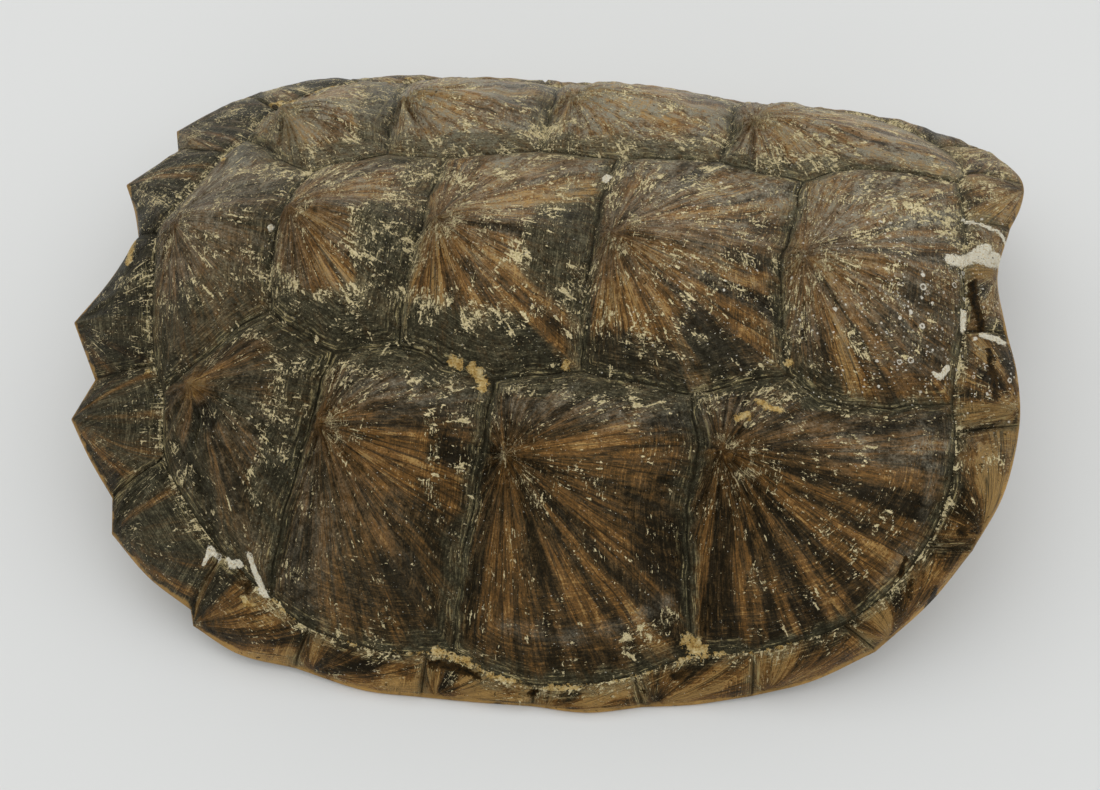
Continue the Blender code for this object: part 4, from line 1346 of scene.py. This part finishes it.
# Pale dust colour, also laid on as painted sheen.
OLIVE_CREAM = colour(202, 185, 131)
CREAM = colour(247, 230, 182)
WHITE = colour(246, 240, 222)
FILLER_DARK = colour(150, 108, 52)
FILLER = colour(210, 174, 102)
FILLER_PALE = colour(238, 218, 164)
CHALK_STAIN = colour(226, 204, 156)
CHALK = colour(254, 248, 226)
SPOT_OR_SHADOW_EDGE = colour(62, 44, 18)
WORN_EDGE = colour(202, 158, 88)
BONE = colour(196, 176, 140)
BONE_DARK = colour(140, 116, 82)
HORN_BUMP = 0.0018
BONE_BUMP = 0.0008
# White specks: cells to a millimetre, their least size, and how much the place adds.
SPECKS = ((0.26, 0.08, 1.35), (0.55, 0.30, 1.0), (1.0, 0.40, 1.0))


class HornFields:
    """Places and patterns that the parts of the horn's look share."""

    def __init__(self, n):
        self.n = n
        forward, out, number = n.attribute("ray")
        self.ring, self.gap, self.kind = n.attribute("band")
        self.tone, self.slate, self.flecks = n.attribute("shade")
        self.cream, self.dust, self.speck = n.attribute("marks")
        self.filler, self.spot, self.chalk = n.attribute("patches")
        self.mm = n.place(1.0 / MM)
        flat = n.join(forward, out, 0.0)
        way = n.split(n.vector("NORMALIZE", flat))
        self.wobble = n.noise(self.mm, 0.09)
        drift = n.line(n.vector("LENGTH", flat), 0.025, n.times(number, 3.71))
        self.fan = n.join(way[0], way[1], n.line(self.wobble, 0.3, drift))
        self.mottle = n.noise(self.mm, 0.33, 4.0, 0.7)
        self.grit = n.noise(self.mm, 1.3, 3.0, 0.75)
        slow = n.split(n.vector("SCALE", self.mm, 0.06))
        across = n.line(self.wobble, 1.2, n.times(self.gap, 1.1))
        self.lines = n.noise(n.join(across, slow[0], slow[1]), 1.25, 4.0, 0.85)
        self.streaks = self.rays(10.0, 2.0, 3.0, 0.6)
        self.hairs = self.rays(38.0, 6.0, 3.0, 0.7)

    def rays(self, across, along, detail, roughness=0.65):
        """A pattern drawn out along the rays of the fan."""
        stretched = self.n.vector("MULTIPLY", self.fan, (across, across, along))
        return self.n.noise(stretched, 1.0, detail, roughness)


def horn_base(n, f):
    """Amber and dark fans, crossed by growth lines, cracks and scratches, under dust and painted
    sheen.
    """
    wide = f.rays(3.0, 1.0, 1.0)
    rings = n.ease(f.ring, 0.4, 0.8, 0.6, 1.5)
    tone = n.sway(n.line(f.tone, 0.31, 0.47), (wide, 0.85), (f.streaks, 1.15), (f.hairs, 1.3),
                  (f.mottle, 0.6), (f.lines, rings), (f.grit, 0.9))
    horn = n.ramp(tone, ((0.0, BLACK_HORN), (0.2, DARK_HORN), (0.45, BROWN_HORN),
                         (0.82, AMBER_HORN), (1.0, PALE_AMBER)))
    growth = n.times(n.thin(f.lines, 0.035), n.ease(f.ring, 0.25, 0.9, 0.1, 0.9),
                     n.ease(f.mottle, 0.38, 0.55, 0.1, 1.0))
    cracks = n.times(n.thin(f.rays(8.0, 0.4, 2.0), 0.028), 0.8)
    scratches = n.times(n.thin(f.rays(19.0, 0.8, 2.0), 0.05), 0.55, n.ease(wide, 0.42, 0.55))
    # Dust, with painted sheen: a pale film that stands for bright reflections on the far side and
    # the tops.
    dusty = n.times(f.dust, n.ease(f.mottle, 0.3, 0.7, 0.15, 1.2),
                    n.ease(f.grit, 0.36, 0.64, 0.4, 1.5), n.ease(f.streaks, 0.38, 0.60, 0.35, 1.5),
                    n.ease(f.kind, 1.5, 1.9, 1.0, 0.45))
    return n.lay(horn, (growth, DARK_HORN), (cracks, BLACK_HORN), (scratches, DARK_HORN),
                 (dusty, DUST_AND_SHEEN))


def add_slate(n, f, horn):
    """Dark slate growth bands, and the grey-green strips along the seams."""
    wide = n.line(n.noise(f.mm, 0.10, 3.0, 0.6), 9.0, -2.1)
    seam = n.times(n.ease(n.less(f.gap, wide), -1.6, 1.6, 1.0, 0.0),
                   n.ease(f.kind, 1.5, 1.9, 0.9, 0.55))
    shade = n.sway(n.line(f.tone, 0.11, 0.46), (f.lines, 1.9), (f.grit, 1.4), (f.mottle, 0.9))
    slate = n.ramp(shade, ((0.0, SLATE_DARK), (0.45, SLATE), (0.9, SLATE_PALE)))
    amount = n.times(n.most(n.times(f.slate, 0.85), seam), n.ease(f.mottle, 0.25, 0.6, 0.65, 1.0))
    pale = n.times(n.ease(f.lines, 0.55, 0.62), n.ease(f.gap, 1.0, 6.0, 0.85, 0.05),
                   n.ease(f.mottle, 0.42, 0.55))
    shadow = n.ease(f.gap, 0.0, 0.7, 0.75, 0.0)
    return n.lay(horn, (amount, slate), (pale, OLIVE_CREAM), (shadow, SEAM_SHADOW)), seam


def add_flecks(n, f, horn, seam):
    """Curly cream flecks in patches, drawn along rays or growth lines."""
    patch = n.noise(f.mm, 0.12, 3.0, 0.65)
    strip_edge = n.times(seam, n.less(1.0, seam), n.ease(f.kind, 0.2, 1.6, 1.3, 0.0))
    where = n.line(n.most(f.flecks, f.cream, strip_edge), 0.42, patch)
    radial = f.rays(27.0, 9.0, 2.0, 0.6)
    parts = n.split(n.vector("SCALE", f.mm, 0.5))
    ringed = n.noise(n.join(n.times(f.gap, 1.7), parts[0], parts[1]), 1.0, 2.0, 0.6)
    curl = n.times(n.thin(n.noise(f.mm, 0.62, 2.0, 0.6, 1.4), 0.028), n.ease(where, 0.68, 0.80))
    drawn = n.sway(n.most(radial, ringed), (f.grit, 0.35))
    drawn = n.ease(n.line(where, 0.55, drawn), 1.01, 1.035)
    solid = n.ease(n.line(f.cream, 0.9, n.noise(f.mm, 0.4, 4.0, 0.7)), 1.05, 1.12)
    amount = n.most(curl, drawn, solid)
    tint = n.lay(OLIVE_CREAM, (n.ease(f.grit, 0.35, 0.6), CREAM))
    return n.lay(horn, (n.times(amount, 0.95), tint)), amount


def add_specks(n, f, horn):
    """White specks of three sizes, some of them worn through in the middle."""
    shaken = n.vector("SCALE", n.join(f.grit, f.mottle, f.wobble), 1.6)
    shaken = n.vector("ADD", f.mm, shaken)
    for scale, least, more in SPECKS:
        dots = n.node("ShaderNodeTexVoronoi", {"Vector": shaken, "Scale": scale}).outputs
        size = n.times(n.less(n.split(dots["Color"])[0], 0.72), n.line(f.speck, more, least))
        inside = n.less(size, dots["Distance"])
        worn = n.times(n.ease(inside, 0.09, 0.13), n.ease(f.speck, 0.7, 0.9))
        specks = n.times(n.ease(inside, -0.02, 0.03), n.less(1.0, worn), 0.85)
        horn = n.lay(horn, (specks, WHITE))
    return horn


def add_rim_wear(n, f, horn):
    """Pale worn horn along the free edge of the rim."""
    edge_away = n.times(n.less(f.kind, RIM_KIND), 1.0 / EDGE_SCALE)
    edge_wide = n.line(n.noise(f.mm, 0.10, 4.0, 0.7), 8.0, -3.4)
    worn = n.times(n.ease(n.less(edge_away, edge_wide), -0.8, 0.8, 1.0, 0.0),
                   n.math("GREATER_THAN", f.kind, RIM_KIND - 0.05), 0.8)
    return n.lay(horn, (worn, WORN_EDGE))


def add_patches(n, f, horn):
    """Named patches: yellow-cream filler, white chalk, and black spots with painted shadows under
    broken edges.
    """
    ragged = n.times(n.less(n.noise(f.mm, 0.45, 5.0, 0.8), 0.5), 2.6)
    filler = n.ease(n.plus(f.filler, ragged), 0.40, 0.48)
    shade = n.plus(n.times(f.mottle, 0.6), n.times(f.grit, 0.5))
    tint = n.ramp(shade, ((0.40, FILLER_DARK), (0.52, FILLER), (0.68, FILLER_PALE)))
    chalk = n.ease(n.plus(f.chalk, n.times(ragged, 0.5)), 0.30, 0.40)
    chalk_tint = n.lay(CHALK_STAIN, (n.ease(f.grit, 0.34, 0.52), CHALK))
    # Black spots and painted shadows.
    spot = n.plus(ragged, f.spot)
    spot_tint = n.lay(SPOT_OR_SHADOW_EDGE, (n.ease(spot, 0.5, 0.9), BLACK_HORN))
    horn = n.lay(horn, (n.times(filler, 0.95), tint), (n.times(chalk, 0.95), chalk_tint),
                 (n.ease(spot, 0.28, 0.38), spot_tint))
    return horn, n.most(filler, chalk)


def horn_material():
    """Old horn: fans of amber and dark streaks, growth lines, slate bands and pale flecks."""
    n = Nodes("horn")
    f = HornFields(n)
    horn, seam = add_slate(n, f, horn_base(n, f))
    horn, crust = add_flecks(n, f, horn, seam)
    horn = add_rim_wear(n, f, add_specks(n, f, horn))
    horn, patches = add_patches(n, f, horn)
    crust = n.most(crust, patches)
    rough = n.line(crust, 0.3, n.ease(f.mottle, 0.3, 0.7, 0.27, 0.46))
    height = n.line(f.streaks, 0.7, n.times(f.hairs, 0.45))
    line_height = n.ease(f.gap, 3.0, 25.0, 0.9, 0.35)
    for pattern, amount in ((f.lines, line_height), (f.grit, 0.4), (crust, 0.35)):
        height = n.line(pattern, amount, height)
    n.bump(height, HORN_BUMP, 1.0)
    return n.finish({"Base Color": horn, "Roughness": n.line(seam, 0.1, rough),
                     "Specular IOR Level": HORN_SHINE, "Specular Tint": HORN_SHEEN})


def bone_material():
    """Dry bone of the inside: pale tan, with darker stains and fine pores."""
    n = Nodes("bone")
    mm = n.place(1.0 / MM)
    stain = n.noise(mm, 0.03, 4.0, 0.65)
    pores = n.noise(mm, 0.9, 3.0, 0.7)
    base = n.lay(BONE, (n.ease(stain, 0.35, 0.68), BONE_DARK),
                 (n.ease(pores, 0.52, 0.75, 0.0, 0.5), BONE_DARK))
    n.bump(n.line(stain, 0.6, pores), BONE_BUMP, 0.8)
    return n.finish({"Base Color": base, "Roughness": n.ease(stain, 0.3, 0.7, 0.6, 0.8)})


# ---- marks on the horn
def field(points, places, size):
    """1 at a line of places, falling to 0 at the given distance."""
    places = np.asarray(places, float)
    best = np.full(len(points), np.inf)
    for start, end in zip(places[:-1], places[1:]):
        run = end - start
        part = np.clip(((points - start) @ run) / max(run @ run, 1e-9), 0.0, 1.0)
        best = np.minimum(best, lengths(points - start - part[:, None] * run))
    if len(places) == 1:
        best = lengths(points - places[0])
    return np.clip(1.0 - best / size, 0.0, 1.0)


def patch_fields(plan, patches):
    return np.max([field(plan, places, width) for width, places in patches], axis=0)


def filled_seams(plan, shift):
    best = np.zeros(len(plan))
    for first, last, width in FILLED_SEAMS:
        line = rim_inner(np.linspace(first, last, 24), -1)[:, :2] + shift[:2]
        best = np.maximum(best, field(plan, line, width))
    return best * (0.45 + 0.55 * smooth(noise(plan / 9.0, 51) + 0.5))


def patch_points(points, shift):
    """Filler, black spot or painted shadow, and chalk amounts for every point of the mesh."""
    plan = points[:, :2] + shift[:2]
    filler = np.maximum(patch_fields(plan, FILLER_PATCHES), filled_seams(plan, shift))
    upper = points[:, 2] > EDGE + 1.0
    spot = patch_fields(plan, BLACK_SPOTS_AND_SHADOWS)
    chalk = patch_fields(plan, CHALK_PATCHES)
    return np.column_stack([filler, spot, chalk]) * upper[:, None]


def mark_points(points):
    """Cream, dust-and-painted-sheen and speck amounts for every point of the mesh."""
    plan = points[:, :2]
    tail = smooth((-40.0 - plan[:, 0]) / 90.0)
    top = smooth((45.0 - np.abs(plan[:, 1])) / 20.0)
    left = smooth(plan[:, 1] / 60.0)
    head = smooth((plan[:, 0] - 70.0) / 50.0)
    cloud = noise(plan / 14.0, 61)
    # Dust and painted sheen grow toward the left, far side, where light from the back reflects.
    lean = smooth((plan[:, 1] + 55.0) / 135.0)
    # Painted sheen: a pale band high on the right side costals, which also gets more cream flecks.
    sheen_and_fleck_band = bell(plan[:, 1] + 60.0, 9.0) * smooth((plan[:, 0] + 75.0) / 15.0)
    # Painted reflection: a soft pale patch on the right c3 where the window reflects.
    window_reflection = np.exp(-((plan[:, 0] + 80.0) / 28.0) ** 2 - ((plan[:, 1] + 95.0) / 26.0) ** 2)
    dust = 0.03 + 0.10 * tail + 0.66 * lean + 0.20 * head * top + 0.36 * sheen_and_fleck_band + 0.16 * window_reflection
    # Painted highlights along the growth ledges.
    dust += 0.25 * patch_fields(plan, HIGHLIGHT_ARCS)
    dust *= 1.0 + 0.5 * cloud
    cream = 0.10 + 0.24 * top + 0.30 * left + 0.22 * sheen_and_fleck_band + 0.22 * noise(plan / 11.0, 62)
    front = smooth((plan[:, 0] - 10.0) / 60.0) * smooth((62.0 - np.abs(plan[:, 1])) / 30.0)
    nose = smooth((plan[:, 0] - 95.0) / 35.0) * smooth((45.0 - np.abs(plan[:, 1] + 18.0)) / 30.0)
    speck = 0.10 + 0.36 * front + 0.45 * nose
    return np.column_stack([cream, dust, speck])


# ---- the piece
def make_shell():
    skin = Skin(Dome(dome_places()))
    for side in (-1, 1):
        lay_side_seams(skin, side)
    lay_cross_seams(skin)
    grow_scutes(skin)
    rim = Rim(skin)
    loop, at = grow_rim(skin, rim)
    grow_inside(skin, rim, loop, at)
    points = np.concatenate(skin.points)
    faces = np.concatenate(skin.triangles)
    box = [np.array(corner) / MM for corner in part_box(NODE)]
    middle = (points.min(axis=0) + points.max(axis=0)) / 2.0
    shift = (box[0] + box[1]) / 2.0 - middle
    shift[2] = box[0][2] - points[:, 2].min()
    patches = patch_points(points, shift)
    points[:, 2] += FILLER_RISE * smooth(2.0 * np.maximum(patches[:, 0], patches[:, 2]))
    mesh = bpy.data.meshes.new("turtle_shell")
    mesh.from_pydata(((points + shift) * MM).tolist(), [], faces.tolist())
    mesh.shade_smooth()
    mesh.polygons.foreach_set("material_index", np.concatenate(skin.bone))
    looks = np.concatenate(skin.looks)
    for column, name in ((0, "ray"), (3, "band"), (6, "shade")):
        store(mesh, name, "CORNER", looks[:, column:column + 3])
    store(mesh, "marks", "POINT", mark_points(points))
    store(mesh, "patches", "POINT", patches)
    mesh.materials.append(horn_material())
    mesh.materials.append(bone_material())
    return add_object("turtle_shell", mesh)


def add_object(name, data):
    thing = bpy.data.objects.new(name, data)
    bpy.context.scene.collection.objects.link(thing)
    return thing


def store(mesh, name, domain, rows):
    attribute = mesh.attributes.new(name, "FLOAT_VECTOR", domain)
    attribute.data.foreach_set("vector", np.ascontiguousarray(rows, np.float32).ravel())


# ---- studio: places and sizes in metres, and the camera's lens and sensor in millimetres
TARGET = Vector((-0.00236, 0.0, -0.02697))
DISTANCE = 0.6445
AZIMUTH = math.radians(9.78)
ELEVATION = math.radians(57.32)
ROLL = math.radians(-3.92)
LENS = 51.06
SENSOR = 36.0
FLOOR_REACH = 30.0
PAPER = (colour(221, 222, 220), colour(224, 225, 223))
# The sky is brightest this way, and goes from dim to bright between two slopes.
SKY_WAY = (0.08, 0.48, 0.77)
SKY_SPAN = {"From Min": -0.5, "From Max": 0.65, "To Min": 0.09, "To Max": 1.09}
SKY = (0.985, 0.99, 1.0, 1.0)
# Lights: where, where to, how large, how strong and which colour.
LIGHTS = {
    "room": ((0.3, -2.6, 1.0), (0.0, 0.0, 0.03), (2.2, 0.7), 8.0, (1.0, 1.0, 1.0)),
    "window": ((-1.2, 2.1, 3.9), (0.0, 0.0, 0.0), (3.6, 3.2), 12.0, (1.0, 0.985, 0.96)),
}


def make_camera():
    """The photograph's view: from above the right side, turned a little."""
    toward = Vector((math.sin(AZIMUTH) * math.cos(ELEVATION),
                     -math.cos(AZIMUTH) * math.cos(ELEVATION), math.sin(ELEVATION)))
    level = (-toward).cross(Vector((0.0, 0.0, 1.0))).normalized()
    upright = level.cross(-toward)
    right = math.cos(ROLL) * level + math.sin(ROLL) * upright
    up = math.cos(ROLL) * upright - math.sin(ROLL) * level
    camera = add_object("camera", bpy.data.cameras.new("camera"))
    camera.matrix_world = Matrix((right, up, toward)).transposed().to_4x4()
    camera.location = TARGET + toward * DISTANCE
    camera.data.lens = LENS
    camera.data.sensor_width = SENSOR
    bpy.context.scene.camera = camera


def make_floor():
    """A pale sheet of paper, reaching well past the view."""
    mesh = bpy.data.meshes.new("floor")
    ways = ((-1, -1), (1, -1), (1, 1), (-1, 1))
    corners = [(x * FLOOR_REACH, y * FLOOR_REACH, 0.0) for x, y in ways]
    mesh.from_pydata(corners, [], [(0, 1, 2, 3)])
    n = Nodes("paper")
    base = n.lay(PAPER[0], (n.noise(n.place(), 3.0), PAPER[1]))
    mesh.materials.append(n.finish({"Base Color": base, "Roughness": 0.75}))
    add_object("floor", mesh)


def make_light():
    """Soft light from above, a window at the back left and a dim room behind the viewer."""
    world = bpy.data.worlds.new("studio")
    world.use_nodes = True
    tree = world.node_tree
    background = tree.nodes["Background"]
    way = tree.nodes.new("ShaderNodeTexCoord")
    lean = tree.nodes.new("ShaderNodeVectorMath")
    lean.operation = "DOT_PRODUCT"
    lean.inputs[1].default_value = SKY_WAY
    span = tree.nodes.new("ShaderNodeMapRange")
    for name, value in SKY_SPAN.items():
        span.inputs[name].default_value = value
    tree.links.new(way.outputs["Generated"], lean.inputs[0])
    tree.links.new(lean.outputs["Value"], span.inputs["Value"])
    tree.links.new(span.outputs[0], background.inputs["Strength"])
    background.inputs["Color"].default_value = SKY
    bpy.context.scene.world = world
    for name, (place, aim, size, power, shade) in LIGHTS.items():
        lamp = bpy.data.lights.new(name, "AREA")
        lamp.shape = "RECTANGLE"
        lamp.size, lamp.size_y = size
        lamp.energy = power
        lamp.color = shade
        light = add_object(name, lamp)
        light.location = place
        light.rotation_euler = (Vector(aim) - Vector(place)).to_track_quat("-Z", "Y").to_euler()


shell = make_shell()
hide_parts(NODE)
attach(shell, "root")
make_floor()
make_light()
make_camera()
bpy.context.scene.view_settings.view_transform = "Standard"
